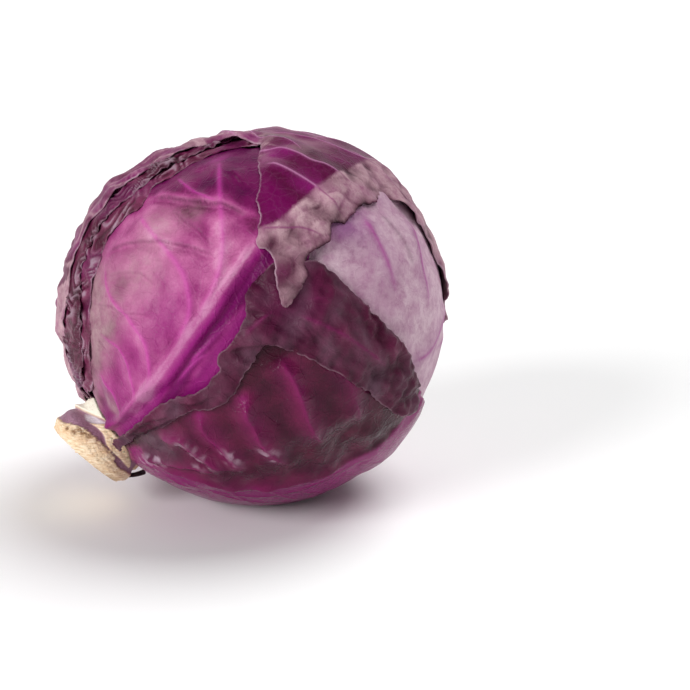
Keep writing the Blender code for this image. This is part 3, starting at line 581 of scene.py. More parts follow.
class LaidLeaf:
    """A wrapper leaf's mesh before it gets its height: points, triangles and what lies near each point."""

    def __init__(self, name, veins, folds=(), spacing=1.0, crinkle=0.25, crinkle_length=6.0, seed=1):
        """Each vein is a line, a height in mm and a stroke in mm, and each fold is a line and a height."""
        self.name, self.seed, self.lap = name, seed, LAPS[name]
        outline = self.lap.draw(self.lap.given, EDGE_STEP, closed=True)
        run = np.arange(len(outline)) * EDGE_STEP
        outline = beside(outline, crinkle * self.wander(run, run[-1], crinkle_length, seed), closed=True)
        vein_lines = [self.lap.draw(places, LINE_STEP) for places, _, _ in veins]
        fold_lines = [self.lap.draw(places, LINE_STEP) for places, _ in folds]
        rows = [beside(line, offset * stroke)
                for line, (_, _, stroke) in zip(vein_lines, veins) for offset in VEIN_ROWS]
        rows += [beside(line, offset) for line in fold_lines for offset in FOLD_ROWS]
        self.cut_mesh(outline, spacing, rows)
        self.directions = self.lap.lift(self.flat)
        self.below, self.over, uncovered = stacked(name, self.directions)
        self.free = smooth_step((uncovered - PRESS_SHELF) / PRESS_FALL)
        gap, place = line_gap(self.directions, self.lap.lift(outline), closed=True)
        self.gap, self.along, self.round = np.abs(gap), place * run[-1], run[-1]
        self.vein, self.tent, self.crease, self.fold = np.zeros((4, len(self.flat)))
        for line, (_, height, stroke) in zip(vein_lines, veins):
            self.raise_vein(line, height, stroke)
        for line, (_, height) in zip(fold_lines, folds):
            self.raise_fold(line, height)

    def cut_mesh(self, outline, spacing, rows):
        """Triangles within the outline, with points along the rows, coarse where another leaf covers it."""
        rows = np.vstack(rows) if rows else np.zeros((0, 2))
        fixed = point_tree(np.vstack([outline, rows]))
        edge = point_tree(outline)
        rows = np.array([point for point in rows[inside(rows, outline)]
                         if edge.find((*point, 0.0))[2] > EDGE_CLEAR]).reshape(-1, 2)
        spread = []
        for size in (spacing, HIDDEN_SPACING):
            dense = lattice(size)
            dense = dense[dense @ self.lap.middle > FAR_SIDE]
            dense = dense[self.lap.outside(dense) < 2.0]
            uncovered = stacked(self.name, dense)[2]
            spread.append(self.lap.flatten(dense[(uncovered > -HIDDEN_REACH) == (size == spacing)]))
        spread = np.vstack(spread)
        spread = spread[inside(spread, outline)]
        spread = np.array([point for point in spread if fixed.find((*point, 0.0))[2] > 0.6 * spacing])
        rim = [(k, (k + 1) % len(outline)) for k in range(len(outline))]
        points = [Vector(point) for point in np.vstack([outline, rows, spread])]
        flat, _, faces, _, _, _ = delaunay_2d_cdt(points, rim, [], INSIDE_ONLY, 1e-4)
        self.flat = np.array([tuple(point) for point in flat])
        self.faces = np.array([tuple(face) for face in faces])
        corner = self.flat[self.faces]
        turned = np.cross(corner[:, 1] - corner[:, 0], corner[:, 2] - corner[:, 0]) < 0.0
        self.faces[turned] = self.faces[turned][:, ::-1]

    def raise_vein(self, line, height, stroke):
        """Mark a vein, and the blade that it holds up on both sides like a tent."""
        gap, place = line_gap(self.directions, self.lap.lift(line))
        fade, thinning = ends_fade(place, 0.12, 0.25), 1.0 - TIP_THINNING * place
        self.vein = np.maximum(self.vein, fade * np.exp(-((gap / (stroke * thinning)) ** 2)))
        slope = np.exp(-(np.sqrt(gap ** 2 + 0.5) - 0.7) / (2.6 * stroke + 1.5))
        self.tent = np.maximum(self.tent, height * thinning * fade * slope)

    def raise_fold(self, line, height):
        """Mark a fold: high along the line's left, with a dent along its right and painted shade in the
        crease there.
        """
        gap, place = line_gap(self.directions, self.lap.lift(line))
        fade = ends_fade(place, 0.12, 0.15)
        high = np.exp(-np.maximum(gap, 0.0) / FOLD_REACH) * smooth_step((gap + 1.6) / 1.6)
        low = np.exp(-(((gap + 2.0) / 1.8) ** 2))
        self.fold += height * fade * (high - 0.45 * low)
        # The dark line in the crease is painted shade, drawn in the leaf's darkest tone
        dark = min(1.0, height ** 2) * fade * np.exp(-(((gap + 0.5) / 0.5) ** 2))
        self.crease = np.maximum(self.crease, dark)

    @staticmethod
    def wander(run, length_round, length, seed):
        """Uneven waves along a closed edge, from about -1 to 1, with the given length in mm."""
        rng = np.random.default_rng(seed)
        total, power = np.zeros(len(run)), 0.0
        for _ in range(EDGE_WAVES):
            size = math.exp(rng.uniform(-0.6, 1.6))
            waves = max(1, round(length_round / (length * size)))
            start = rng.uniform(0.0, 2.0 * math.pi)
            total += size ** 0.6 * np.sin(2.0 * math.pi * waves * run / length_round + start)
            power += 0.5 * size ** 1.2
        return total / math.sqrt(power)

    def ruffle(self, amount, length, reach, lift=0.0):
        """Waves of the margin in mm that die away inward over a reach."""
        waves = amount * self.wander(self.along, self.round, length, self.seed + 7)
        return (lift + waves) * np.exp(-self.gap / reach)

    def ripple(self, length, seed):
        """Smooth bumps of the blade from about -1 to 1, with the given length in mm."""
        return ripple(self.directions, length, seed)

    def spot(self, polar, turn, reach):
        """A soft round mask, 1 at its middle."""
        middle = toward([(polar, turn)])[0]
        return np.exp(-(np.linalg.norm(self.directions - middle, axis=1) * CHART_RADIUS / reach) ** 2)

    def spots(self, places):
        """The sum of spots given as polar angle, turn, reach in mm and strength."""
        return sum(strength * self.spot(polar, turn, reach) for polar, turn, reach, strength in places)

    def side_of(self, places):
        """Distance in mm from a line given by polar angles and turns, positive on its left."""
        return line_gap(self.directions, self.lap.lift(self.lap.draw(places, 4.0)))[0]

    def wrap(self, raise_by, finish, wax_and_sheen, tone, tint, tuck=1.0, bare=0.0):
        """Close the leaf into a thin blade, with no pale edge where bare, and hand it to the frame."""
        radius = ball_radius(self.directions) + LAYER * (1.0 + self.below) + raise_by
        radius -= tuck * np.exp(-self.gap / TUCK_REACH)
        blade = BLADE * (1.0 - 0.5 * np.exp(-self.gap / EDGE_REACH))
        outer = self.directions * radius[:, None]
        inner = self.directions * (radius - blade)[:, None]
        outer[:, 2] = np.maximum(outer[:, 2] + CENTRE_HEIGHT, LAYER * self.over)
        inner[:, 2] = np.maximum(inner[:, 2] + CENTRE_HEIGHT, LAYER * self.over + BLADE)
        count, faces = len(outer), self.faces
        ways = np.vstack([faces[:, [0, 1]], faces[:, [1, 2]], faces[:, [2, 0]]])
        known = set(map(tuple, ways.tolist()))
        rim = [(a, b) for a, b in known if (b, a) not in known]
        shell = faces.tolist() + (faces[:, ::-1] + count).tolist()
        shell += [(b, a, a + count, b + count) for a, b in sorted(rim)]
        # Marks for the finish: vein, painted shade in creases and the gap to the edge; then wax with painted
        # highlights, tone with painted light and shade, and tint
        lines = np.column_stack([self.vein * self.free, self.crease * self.free, self.gap + bare])
        bloom = np.column_stack([np.clip(wax_and_sheen, 0.0, 1.0), tone, np.clip(tint, 0.0, 1.0)])
        piece = make_piece(self.name.replace("leaf", "wrapper"), np.vstack([outer, inner]), shell, finish,
                           turned_out=True, lines=np.vstack([lines, lines]), bloom=np.vstack([bloom, bloom]))
        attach(piece, "root")
        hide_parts(self.name)


def ball_radius(directions):
    """Radius of the tight inner ball, in mm, along each direction."""
    swell = SIDE_SWELL * (directions @ BULGE) + BELLY_SWELL * np.maximum(-directions[:, 2], 0.0) ** 2
    return HEAD_RADIUS + swell - SHOULDER_DIP * np.exp(-((1.0 - directions @ SHOULDER) / SHOULDER_SPREAD))


# Right wrapper: the innermost of the big leaves, on the right and round the back, pale with wax.
# Its veins show as soft magenta bands through the bloom, which rubs off where hands and leaves touch.
CLOUD, BEND, PATCH = 13.0, 7.0, 5.0      # mm across: stains, strays of a fine vein, worn patches of wax
GRAIN = 1.0                  # mm, the cells of the skin, drawn far coarser than they are so that they show
FINE_VEINS = ((6.5, 0.07), (2.3, 0.09))           # mm between the finest veins, and their share of that
VEIN_STRAY = 4.0             # mm that a fine vein may stray
RIM_LINE = 0.7               # mm, pale line along the cut edge
CREASE_SHADE = 0.55          # how much darker the painted shade at the bottom of a crease is


def waxed_leaf(name, tones, tint, vein, wax_and_sheen, rim, roughness, net, specular=0.15, clear=0.7):
    """Waxed cabbage leaf: satin skin coloured by tone, which holds its stains and painted light and shade,
    with clear veins, a net of fine ones, a waxy coat whose colour also paints highlights, and painted shade
    in creases.
    """
    finish, tree, shader = new_finish(name)
    place = add_node(tree, "ShaderNodeTexCoord").outputs["Object"]
    cloud = add_node(tree, "ShaderNodeTexNoise", {"Vector": place, "Scale": 1 / (CLOUD * MM), "Detail": 5.0,
                                                  "Roughness": 0.66})
    grain = add_node(tree, "ShaderNodeTexNoise", {"Vector": place, "Scale": 1 / (GRAIN * MM), "Detail": 3.0})
    bend = add_node(tree, "ShaderNodeTexNoise", {"Vector": place, "Scale": 1 / (BEND * MM), "Detail": 2.0})
    bent = add_node(tree, "ShaderNodeVectorMath", {
        0: bend.outputs["Color"], 1: (VEIN_STRAY * MM,) * 3, 2: place}, operation="MULTIPLY_ADD")
    nets = []
    for size, width in FINE_VEINS:
        cells = add_node(tree, "ShaderNodeTexVoronoi", {"Vector": bent, "Scale": 1 / (size * MM)},
                         feature="DISTANCE_TO_EDGE")
        nets.append(add_node(tree, "ShaderNodeMapRange", {"Value": cells, "From Max": width, "To Min": 1.0,
                                                          "To Max": 0.0}))
    net_line = add_node(tree, "ShaderNodeMath", {0: nets[1], 1: 0.4, 2: nets[0]}, operation="MULTIPLY_ADD")

    lines = add_node(tree, "ShaderNodeAttribute", attribute_name="lines").outputs["Vector"]
    vein_mark, crease_shade_mark, gap = add_node(tree, "ShaderNodeSeparateXYZ", {0: lines}).outputs
    bloom = add_node(tree, "ShaderNodeAttribute", attribute_name="bloom").outputs["Vector"]
    wax_and_sheen_mark, tone_mark, tint_mark = add_node(tree, "ShaderNodeSeparateXYZ", {0: bloom}).outputs

    uneven = add_node(tree, "ShaderNodeMapRange", {"Value": cloud, "From Min": 0.3, "From Max": 0.7,
                                                   "To Min": -0.13, "To Max": 0.13})
    tone = add_node(tree, "ShaderNodeMath", {0: tone_mark, 1: uneven}, operation="ADD")
    tone = add_node(tree, "ShaderNodeMath", {0: grain, 1: 0.16, 2: tone}, operation="MULTIPLY_ADD")
    ramp = add_node(tree, "ShaderNodeValToRGB", {0: tone})
    ramp.color_ramp.elements[0].color = hex_colour(tones[0][1])
    ramp.color_ramp.elements[1].color = hex_colour(tones[-1][1])
    for at, shade in tones[1:-1]:
        ramp.color_ramp.elements.new(at).color = hex_colour(shade)

    patch = add_node(tree, "ShaderNodeTexNoise", {"Vector": bent, "Scale": 1 / (PATCH * MM), "Detail": 6.0,
                                                  "Roughness": 0.7})
    patch = add_node(tree, "ShaderNodeMapRange", {
        "Value": patch, "From Min": 0.32, "From Max": 0.6, "To Min": 0.4})
    wax_and_sheen_share = add_node(tree, "ShaderNodeMath", {0: wax_and_sheen_mark, 1: patch}, operation="MULTIPLY")
    worn = add_node(tree, "ShaderNodeMath", {0: vein_mark, 1: -0.7, 2: 1.0}, operation="MULTIPLY_ADD")
    wax_and_sheen_share = add_node(tree, "ShaderNodeMath", {0: wax_and_sheen_share, 1: worn}, operation="MULTIPLY", use_clamp=True)
    edge = add_node(tree, "ShaderNodeMapRange", {
        "Value": gap, "From Max": RIM_LINE, "To Min": 0.8, "To Max": 0.0})
    broken = add_node(tree, "ShaderNodeMapRange", {"Value": cloud, "From Min": 0.42, "From Max": 0.62})
    colour = ramp
    for mark, amount, shade in ((tint_mark, 1.0, tint), (net_line, net, vein), (vein_mark, clear, vein),
                                (wax_and_sheen_share, 1.0, wax_and_sheen), (crease_shade_mark, CREASE_SHADE, tones[0][1]),
                                (edge, broken, rim)):
        share = add_node(tree, "ShaderNodeMath", {0: mark, 1: amount}, operation="MULTIPLY")
        colour = add_node(tree, "ShaderNodeMix", {0: share, 6: colour, 7: hex_colour(shade)},
                          data_type="RGBA")

    relief = 0.0
    for mark, amount in ((net_line, 0.12), (grain, 0.12), (vein_mark, 0.35)):
        relief = add_node(tree, "ShaderNodeMath", {0: mark, 1: amount, 2: relief}, operation="MULTIPLY_ADD")
    plug(shader, {
        "Base Color": colour,
        "Normal": add_node(tree, "ShaderNodeBump", {"Height": relief, "Distance": 1.0 * MM, "Strength": 0.9}),
        "Roughness": add_node(tree, "ShaderNodeMapRange", {"Value": wax_and_sheen_share, "To Min": roughness,
                                                           "To Max": roughness + 0.22}),
        "Specular IOR Level": specular,
    })
    return finish


SIDE_VEIN_STEP = 7.0         # mm
SIDE_VEIN_STEPS = 14         # at most
SIDE_VEIN_SPREAD = 58.0      # degrees between a side vein and the midrib where it leaves it
SIDE_VEIN_BEND = 30.0        # degrees that it has bent toward the tip
SIDE_VEIN_EASE = 9.0         # after this many steps


def side_veins(name, midrib, counts, height, stroke):
    """A midrib, and the veins that leave it by rule and bend toward the tip, as (line, height, stroke)."""
    lap = LAPS[name]
    rib = lap.draw(midrib, 10.0)
    found = [(midrib, 1.3 * height, 1.8 * stroke)]
    for side, count in zip((-1.0, 1.0), counts):
        for number in range(count):
            index = 1 + round((number + 0.5) * (len(rib) - 3) / count)
            ahead = rib[index + 1] - rib[index - 1]
            path = [rib[index]]
            for k in range(SIDE_VEIN_STEPS):
                spread = SIDE_VEIN_SPREAD - SIDE_VEIN_BEND * min(1.0, k / SIDE_VEIN_EASE)
                way = math.atan2(ahead[1], ahead[0]) + side * math.radians(spread)
                point = path[-1] + SIDE_VEIN_STEP * np.array([math.cos(way), math.sin(way)])
                if lap.outside(lap.lift(point[None]))[0] > -2.0:
                    break
                path.append(point)
            if len(path) > 3:
                found.append((polar_turn(lap.lift(np.array(path))), height, stroke))
    return found


RIGHT_MIDRIB = [(16, -175), (45, -177), (75, -178), (105, -178), (130, -172), (150, -150), (156, -100),
                (148, -55)]
RIGHT_VEINS = [
    ([(112, 8), (122, 4), (135.7, -1), (134.2, -7.6), (133.2, -13), (130, -24), (124, -36)], 1.6, 2.0),
    ([(158, -8), (156, -17), (153.6, -22.6), (150.5, -28.5), (146.8, -34.2), (140, -44), (131, -54)],
     1.4, 1.3),
]
RIGHT_CREASES = [([(141.8, -2), (143.4, -13.7), (142.5, -23.8), (138, -36)], 0.7)]
RIGHT_RUBBED = [(127, -4, 9, 0.6), (120, -25, 16, 0.25)]   # worn bloom: polar, turn, mm, strength
# Waxed mauve leaf: a heavy grey bloom over magenta flesh, so it looks powdery with soft purple bands
mauve = waxed_leaf(
    "mauve_waxed_leaf", [(0.0, "#3A0C2C"), (0.35, "#6E2654"), (0.7, "#965480"), (1.0, "#BC8AAA")],
    tint="#6E1C70", vein="#A0348A", wax_and_sheen="#CBAFBC", rim="#D8C4D0", roughness=0.45, net=0.1)
right_sides = side_veins("leaf_right", RIGHT_MIDRIB, (6, 6), 1.3, 1.3)
right = LaidLeaf("leaf_right", RIGHT_VEINS + right_sides, RIGHT_CREASES, spacing=1.15, seed=3)
swept = right.free * (right.tent + right.fold + 0.5 * right.ripple(26.0, 4))
# Its tone is lighter where the veins hold the blade up: painted light on the raised parts
right.wrap(swept + right.ruffle(0.5, 14.0, 7.0), mauve,
           wax_and_sheen=0.95 - right.spots(RIGHT_RUBBED) - 0.25 * right.tent + 0.12 * right.ripple(20.0, 35),
           tone=0.55 + 0.1 * right.tent - 0.3 * right.spot(127, -4, 10),
           tint=np.minimum(0.6 * right.spot(128, -3, 9) + 0.25 * right.tent, 0.8))

# Front wrapper: the smooth magenta leaf that faces the viewer, clasped on all sides by the ones over it.
# Its midrib swells toward the stem like a stalk, and its side veins hold the blade up like tent poles.
FRONT_CREST = [(15, -7), (28, -3.5), (39.6, -0.4), (50.2, 1.4), (62.2, 3.2), (73.6, 5.1), (81.8, 6.4),
               (92, 8.8), (104, 12), (116, 17), (125, 22)]
FRONT_VEINS = [
    ([(76, 6), (83.6, 7.6), (88.1, 9.6), (93.4, 13.2), (98.5, 18.8), (104, 27.3), (110.2, 38.1),
      (115.9, 50.9)], 2.6, 1.5),
    ([(103.9, 27.9), (101.9, 33.1), (100.6, 38.8), (100.3, 44.2), (100.9, 52)], 1.5, 0.8),
    ([(66, 5), (73.3, 6.6), (77.6, 8.9), (80.4, 12.1), (83, 17.3), (84, 22.5), (84.4, 32), (84.8, 42.4),
      (86, 47.3), (89.3, 53)], 2.3, 1.4),
    ([(40, -1), (47.9, 0), (54, 3.4), (58.6, 8.4), (61.5, 13.8), (62.4, 23.6), (62.3, 31.6), (63.5, 37.9),
      (66.1, 43.4), (68.7, 50)], 2.1, 1.3),
    ([(36, -1.5), (42.1, 0), (48.1, 9.3), (52, 18), (51.1, 26.6), (48.6, 36)], 1.4, 1.0),
    ([(30, -3.8), (36.5, 10.5), (36.9, 20), (38, 28)], 1.0, 1.0),
    ([(48, -6.5), (55, -4.6), (61.1, -3.6), (67.9, -2.6), (72.1, -3), (77, -5)], 1.3, 1.0),
    ([(66, -2), (78.5, -1.2), (88.3, -0.7), (95, 1.2)], 1.2, 1.0),
]
FRONT_CREASES = [
    ([(68.1, 50), (73.6, 44.4), (77.9, 40), (84.4, 31.2), (87.4, 26.8), (90.9, 21.3), (94.1, 14.5)], 0.9),
    ([(87.7, 52), (93.7, 44), (99.9, 33.6), (104.8, 25.7), (107.6, 20.3), (109, 16.7)], 1.1),
    ([(93.5, 36.6), (93.6, 30.8), (94.7, 25.4), (94.6, 18)], 0.8),
    ([(65.2, 40.5), (69.6, 36.5), (73.9, 30), (75, 25.5), (75.2, 21.5)], 0.6),
    ([(54.2, 44), (60.3, 32), (61.8, 26.8), (66.8, 19.6), (69, 16)], 0.6),
    ([(113.3, 37.8), (113.4, 30), (114.6, 23.7)], 0.8),
    ([(46, 36), (48, 28), (47, 22)], 0.5),
]
# The arch across the blade, above which it is darker, and two long painted shadows of folds with their reach
# in mm
ARCH = [(80, 60), (87.7, 52), (93.7, 44), (99.9, 33.6), (104.8, 25.7), (107.6, 20.3), (109, 16.7), (110, 5)]
FRONT_FOLD_SHADOWS = [([(95.5, 33.5), (95, 29.5), (96.4, 25.2), (94.6, 21.5)], 2.6),
                 ([(105, 38), (108.5, 32), (110, 27)], 3.0)]
# Soft spots: polar angle, turn, reach in mm and strength
FRONT_GLOW = [(114, 50, 5, 1.0), (87, 48, 4, 1.0), (69, 48, 3, 1.0), (90, 50, 4, 1.0)]   # clear vein ends
FRONT_BLOOM = [(49, 34, 12, 0.4), (60, 42, 9, 0.3), (31, 11, 6, 0.8), (75, 30, 12, 0.5), (88, 36, 9, 0.55),
               (97, 31, 6, 0.3), (101, 46, 6, 0.25)]
FRONT_PALE = [(72, 28, 20, 0.16), (90, 32, 12, 0.1), (100, 20, 10, 0.24)]
FRONT_CLEAR = [(74, 12, 16, 0.35), (50, 10, 18, 0.3)]
RIB_OFFSET = 2.2             # mm that the midrib's middle lies left of its crest
RIB_HEIGHT = 5.0             # mm by the stem
RIB_TIP_FALL = 3.0           # mm that it loses by the tip
RIB_HALF = 3.0               # mm, half its width by the tip
RIB_SWELL = 6.5              # mm added to that by the stem

# Satin magenta leaf: little bloom left, so the anthocyanin shows clear and pink where light goes through
magenta = waxed_leaf(
    "satin_magenta_leaf",
    [(0.0, "#2C031C"), (0.3, "#5E1240"), (0.55, "#943872"), (0.78, "#B86494"), (1.0, "#D498B8")],
    tint="#8C0E70", vein="#C0409E", wax_and_sheen="#AA8C90", rim="#B890A4", roughness=0.36, net=0.02,
    specular=0.12, clear=0.5)
front = LaidLeaf("leaf_front", FRONT_VEINS, FRONT_CREASES, spacing=0.8, seed=5)
polar, turned_by = polar_turn(front.directions).T
crest, along_rib = line_gap(front.directions, front.lap.lift(front.lap.draw(FRONT_CREST, 4.0)))
crest += RIB_OFFSET
half_rib = RIB_HALF + RIB_SWELL * np.exp(-along_rib / 0.25)
left_foot, right_foot = (half_rib - crest) / 4.0 + 0.6, (half_rib + crest) / 2.2 + 0.5
rib_share = smooth_step(np.where(crest > 0.0, left_foot, right_foot))
rib = (RIB_HEIGHT - RIB_TIP_FALL * along_rib) * rib_share * (1.0 - 0.12 * (crest / half_rib) ** 2)
beyond = smooth_step((-crest - half_rib - 3.5) / 5.0)
# The valley beside the rib, which dips and is darkened with painted shade
shaded_valley = np.exp(-(((crest + half_rib + 2.6) / 2.4) ** 2)) * smooth_step((1.0 - along_rib) / 0.3)
# Painted shade on the rib's right slope
shaded_rib_side = rib_share * smooth_step(0.35 - crest / half_rib)
streak = np.sin(2.0 * math.pi * crest / 2.3 + front.ripple(30.0, 68)) * (0.6 + 0.4 * front.ripple(14.0, 69))

arch = front.side_of(ARCH)
above_arch = smooth_step(arch / 4.0)
top_end = smooth_step((polar - 104.0) / 10.0)
# Painted shade just below the arch
shade_under_arch = np.exp(-((arch + 3.5) / 4.5) ** 2) * smooth_step((46.0 - turned_by) / 14.0)
fold_shadows = sum(np.exp(-(front.side_of(places) / reach) ** 2) for places, reach in FRONT_FOLD_SHADOWS)
margin = smooth_step((turned_by - 17.0) / 14.0) * smooth_step((78.0 - polar) / 20.0)
# Painted shade where the leaf meets the stem
stem_shade = smooth_step((46.0 - polar) / 18.0) * smooth_step((26.0 - turned_by) / 12.0)
front.vein *= 1.0 - 0.85 * rib_share
front.vein = np.maximum(front.vein, np.minimum(front.spots(FRONT_GLOW), 1.0))

blade_waves = (1.0 - rib_share) * (0.4 * front.ripple(22.0, 6) + 0.22 * front.ripple(9.0, 66))
held_up = np.maximum(rib, 1.3 * front.tent) + 1.8 * beyond - 0.5 * shaded_valley + 1.4 * front.fold
# Darker: the leaf's own colour at the margin, above the arch and beyond the rib; painted shade under the
# arch, along the fold shadows, in the valley, on the rib's right slope and by the stem
shade = (0.17 * margin + above_arch * (0.34 + 0.06 * top_end) + 0.24 * shade_under_arch
         + 0.2 * np.minimum(fold_shadows, 1.0) + 0.75 * shaded_valley + 0.36 * shaded_rib_side + 0.08 * beyond
         + 0.36 * stem_shade)
# The tone is lighter where veins and folds hold the blade up: painted light on the raised parts
front.wrap(front.free * (held_up + blade_waves) + front.ruffle(0.3, 12.0, 5.0), magenta,
           wax_and_sheen=np.minimum(0.45 * margin + front.spots(FRONT_BLOOM), 1.0) * (1.0 - 0.6 * above_arch),
           tone=0.46 + 0.08 * front.tent + 0.06 * front.fold + front.spots(FRONT_PALE)
           + rib_share * (0.3 + 0.08 * streak) + 0.06 * front.ripple(11.0, 67) - shade,
           tint=front.spots(FRONT_CLEAR) + 0.75 * beyond + 0.5 * shaded_valley + 0.25 * rib_share
           + 0.4 * shaded_rib_side + 0.2 * above_arch + 0.6 * stem_shade)

# Low wrapper: the wine-red leaf underneath, on which the head rests, glossy, with pale glints painted on its
# ridges.
# Its midrib runs along the bottom as a smooth violet band, and its side veins fan up from the stem.
LOW_MIDRIB = [(16, -38), (24, -34), (33, -36), (41, -43), (50, -52), (62, -60), (80, -68), (98, -72)]
LOW_VEINS = [
    ([(28, -15), (30.6, -25.6), (35.8, -31.6), (45, -35.8), (52, -42)], 1.5, 0.9),
    ([(40, -17), (47.9, -20.3), (48.4, -26.5), (50, -33), (56, -42)], 1.7, 0.9),
    ([(60, -13), (58.7, -16), (56.7, -23.2), (56.9, -30.7), (57.6, -37.1), (60, -46)], 1.9, 1.0),
    ([(73, -16), (71.9, -21.2), (70.2, -25.4), (69.5, -29.6), (68, -38), (70, -50)], 1.9, 1.0),
    ([(88, -16), (86, -26), (82, -38), (80, -50)], 1.7, 1.0),
    ([(100, -24), (97, -38), (92, -52)], 1.5, 1.0),
]
LOW_CREASES = [([(37, -8), (40.5, -15), (44, -21), (46, -25)], 0.9),
               ([(33, -9), (35.5, -17), (37, -23)], 0.8)]
LOW_BAND = [(15, -15), (30.3, -17), (31.8, -29), (37.3, -38.2), (45, -44.6), (51.7, -54.7), (60.8, -58.1),
            (80, -64), (104, -68)]
# Spots where pale glints are painted on the ridges: polar angle, turn, reach in mm and strength
PAINTED_GLINTS = [(47, -25, 4, 1.0), (48, -33, 4, 1.0), (28, -31, 5, 1.0), (50, -41, 3, 1.0), (58, -35, 4, 1.0),
         (57, -44, 3, 1.0), (34, -27, 4, 1.0), (66, -40, 5, 1.0)]
# Satin wine leaf: thick, nearly free of wax, dark red-brown with painted violet light on its ridges, where
# its wax colour also paints pale glints
wine = waxed_leaf(
    "satin_wine_leaf",
    [(0.0, "#120208"), (0.35, "#3C0E22"), (0.6, "#5E1A36"), (0.85, "#7A1A54"), (1.0, "#A44488")],
    tint="#7C0E5C", vein="#741C50", wax_and_sheen="#B8A0B0", rim="#A07C92", roughness=0.24, net=0.0,
    specular=0.14, clear=0.4)
low_sides = side_veins("leaf_low", LOW_MIDRIB, (7, 0), 1.3, 1.2)
low = LaidLeaf("leaf_low", LOW_VEINS + low_sides, LOW_CREASES, spacing=1.0, seed=13)
band = low.side_of(LOW_BAND)
below_band = smooth_step(-band / 3.0)
ridged = 1.0 - 0.8 * below_band
on_ridge = smooth_step((low.tent - 0.55) / 0.35)
# Painted highlights: pale glints on the ridges, drawn in the wax colour
painted_glint = low.spots(PAINTED_GLINTS) * on_ridge * smooth_step(1.5 * low.ripple(4.0, 17) + 0.4)
bowed = low.fold + 0.9 * smooth_step(-band / 4.0 + 0.5) + ridged * (
    1.9 * low.tent + low.ripple(19.0, 14) + 0.35 * low.ripple(8.0, 15))
# The tone is lighter on the ridges: painted light on the raised parts
low.wrap(low.free * bowed + low.ruffle(0.3, 12.0, 5.0), wine,
         wax_and_sheen=0.15 * low.spot(38, -20, 10) + 0.9 * painted_glint,
         tone=0.27 + 0.17 * low.tent + 0.04 * low.ripple(14.0, 16) + 0.34 * below_band,
         tint=0.9 * below_band + 0.25 * low.tent)

# Torn wrapper: what is left of an old outer leaf, a strip split off along its length when it was trimmed.
# It is dull, brown and half dry, with torn edges, and cracks run along it near the stem.
TORN_CREASES = [
    ([(30, -8), (44, -7.3), (53.1, -10.8)], 0.9),
    ([(57.2, -8.6), (62.8, -12.7), (66, -12)], 0.9),
    ([(34, -9.5), (48.3, -11.5), (54, -11.8)], 0.9),
    ([(77.9, -6.7), (81, -7), (85, -9.6), (90, -14)], 0.9),
    ([(96, 0), (99, -14), (101, -34)], 0.8),
    ([(88, 0), (93, -5), (96, -12), (97, -20)], 0.8),
]
TORN_VEINS = [
    ([(84, -6), (92, -6), (100, -8), (108, -14)], 1.2, 0.8),
    ([(98, -10), (104, -24), (108, -44)], 1.3, 0.9),
]
# Dull torn leaf: dried at the edges, brown-violet with a matt greyish film and pale torn rims
dull = waxed_leaf(
    "dull_torn_leaf", [(0.0, "#140208"), (0.35, "#380C22"), (0.65, "#581E3A"), (1.0, "#885068")],
    tint="#560A3C", vein="#702050", wax_and_sheen="#6C5060", rim="#80606E", roughness=0.4, net=0.03, specular=0.12)
torn = LaidLeaf("leaf_torn", TORN_VEINS, TORN_CREASES, spacing=0.8, crinkle=0.3, crinkle_length=4.5, seed=8)
broad, fine = torn.ripple(11.0, 9), torn.ripple(5.0, 10)
crumpled = torn.free * (1.2 * torn.tent + torn.fold) + (0.25 + 0.45 * torn.free) * (1.2 * broad + 0.6 * fine)
# The tone is lighter on the crests of the crumples and folds, painted light, and darker in their hollows,
# painted shade
torn.wrap(crumpled + torn.ruffle(0.35, 6.0, 3.0, 0.2), dull,
          wax_and_sheen=0.16 + 0.24 * torn.ripple(16.0, 31),
          tone=0.4 + 0.1 * torn.tent + 0.1 * torn.fold + 0.07 * broad + 0.05 * fine
          - torn.spots([(98, -6, 14, 0.1), (34, -9, 14, 0.12)]),
          tint=0.5 * torn.spot(100, -8, 14), tuck=0.6)

# Rim wrappers: two leaves on the left whose crinkled margins stand one behind the other like pleats.
# They are clasped by the outermost leaf, so only the crumpled strips along their edges show.
def pleats(leaf, length, seed):
    """Uneven small folds that run along the leaf's margin, from about -1 to 1."""
    drift = 1.4 * length * leaf.ripple(24.0, seed) + 0.7 * length * leaf.ripple(10.0, seed + 1)
    return np.sin(2.0 * math.pi * (leaf.gap + drift) / length) * (0.6 + 0.4 * leaf.ripple(12.0, seed + 2))


# Each rim leaf: its midrib, the length and height of its pleats in mm, and how light it is
RIM_LEAVES = {
    "leaf_back_inner": ([(16, 98), (45, 100), (80, 100), (110, 98), (130, 90)], 5.4, 0.35, 0.46),
    "leaf_back_middle": ([(16, 106), (45, 108), (80, 108), (110, 106), (128, 98)], 3.6, 0.6, 0.32),
}
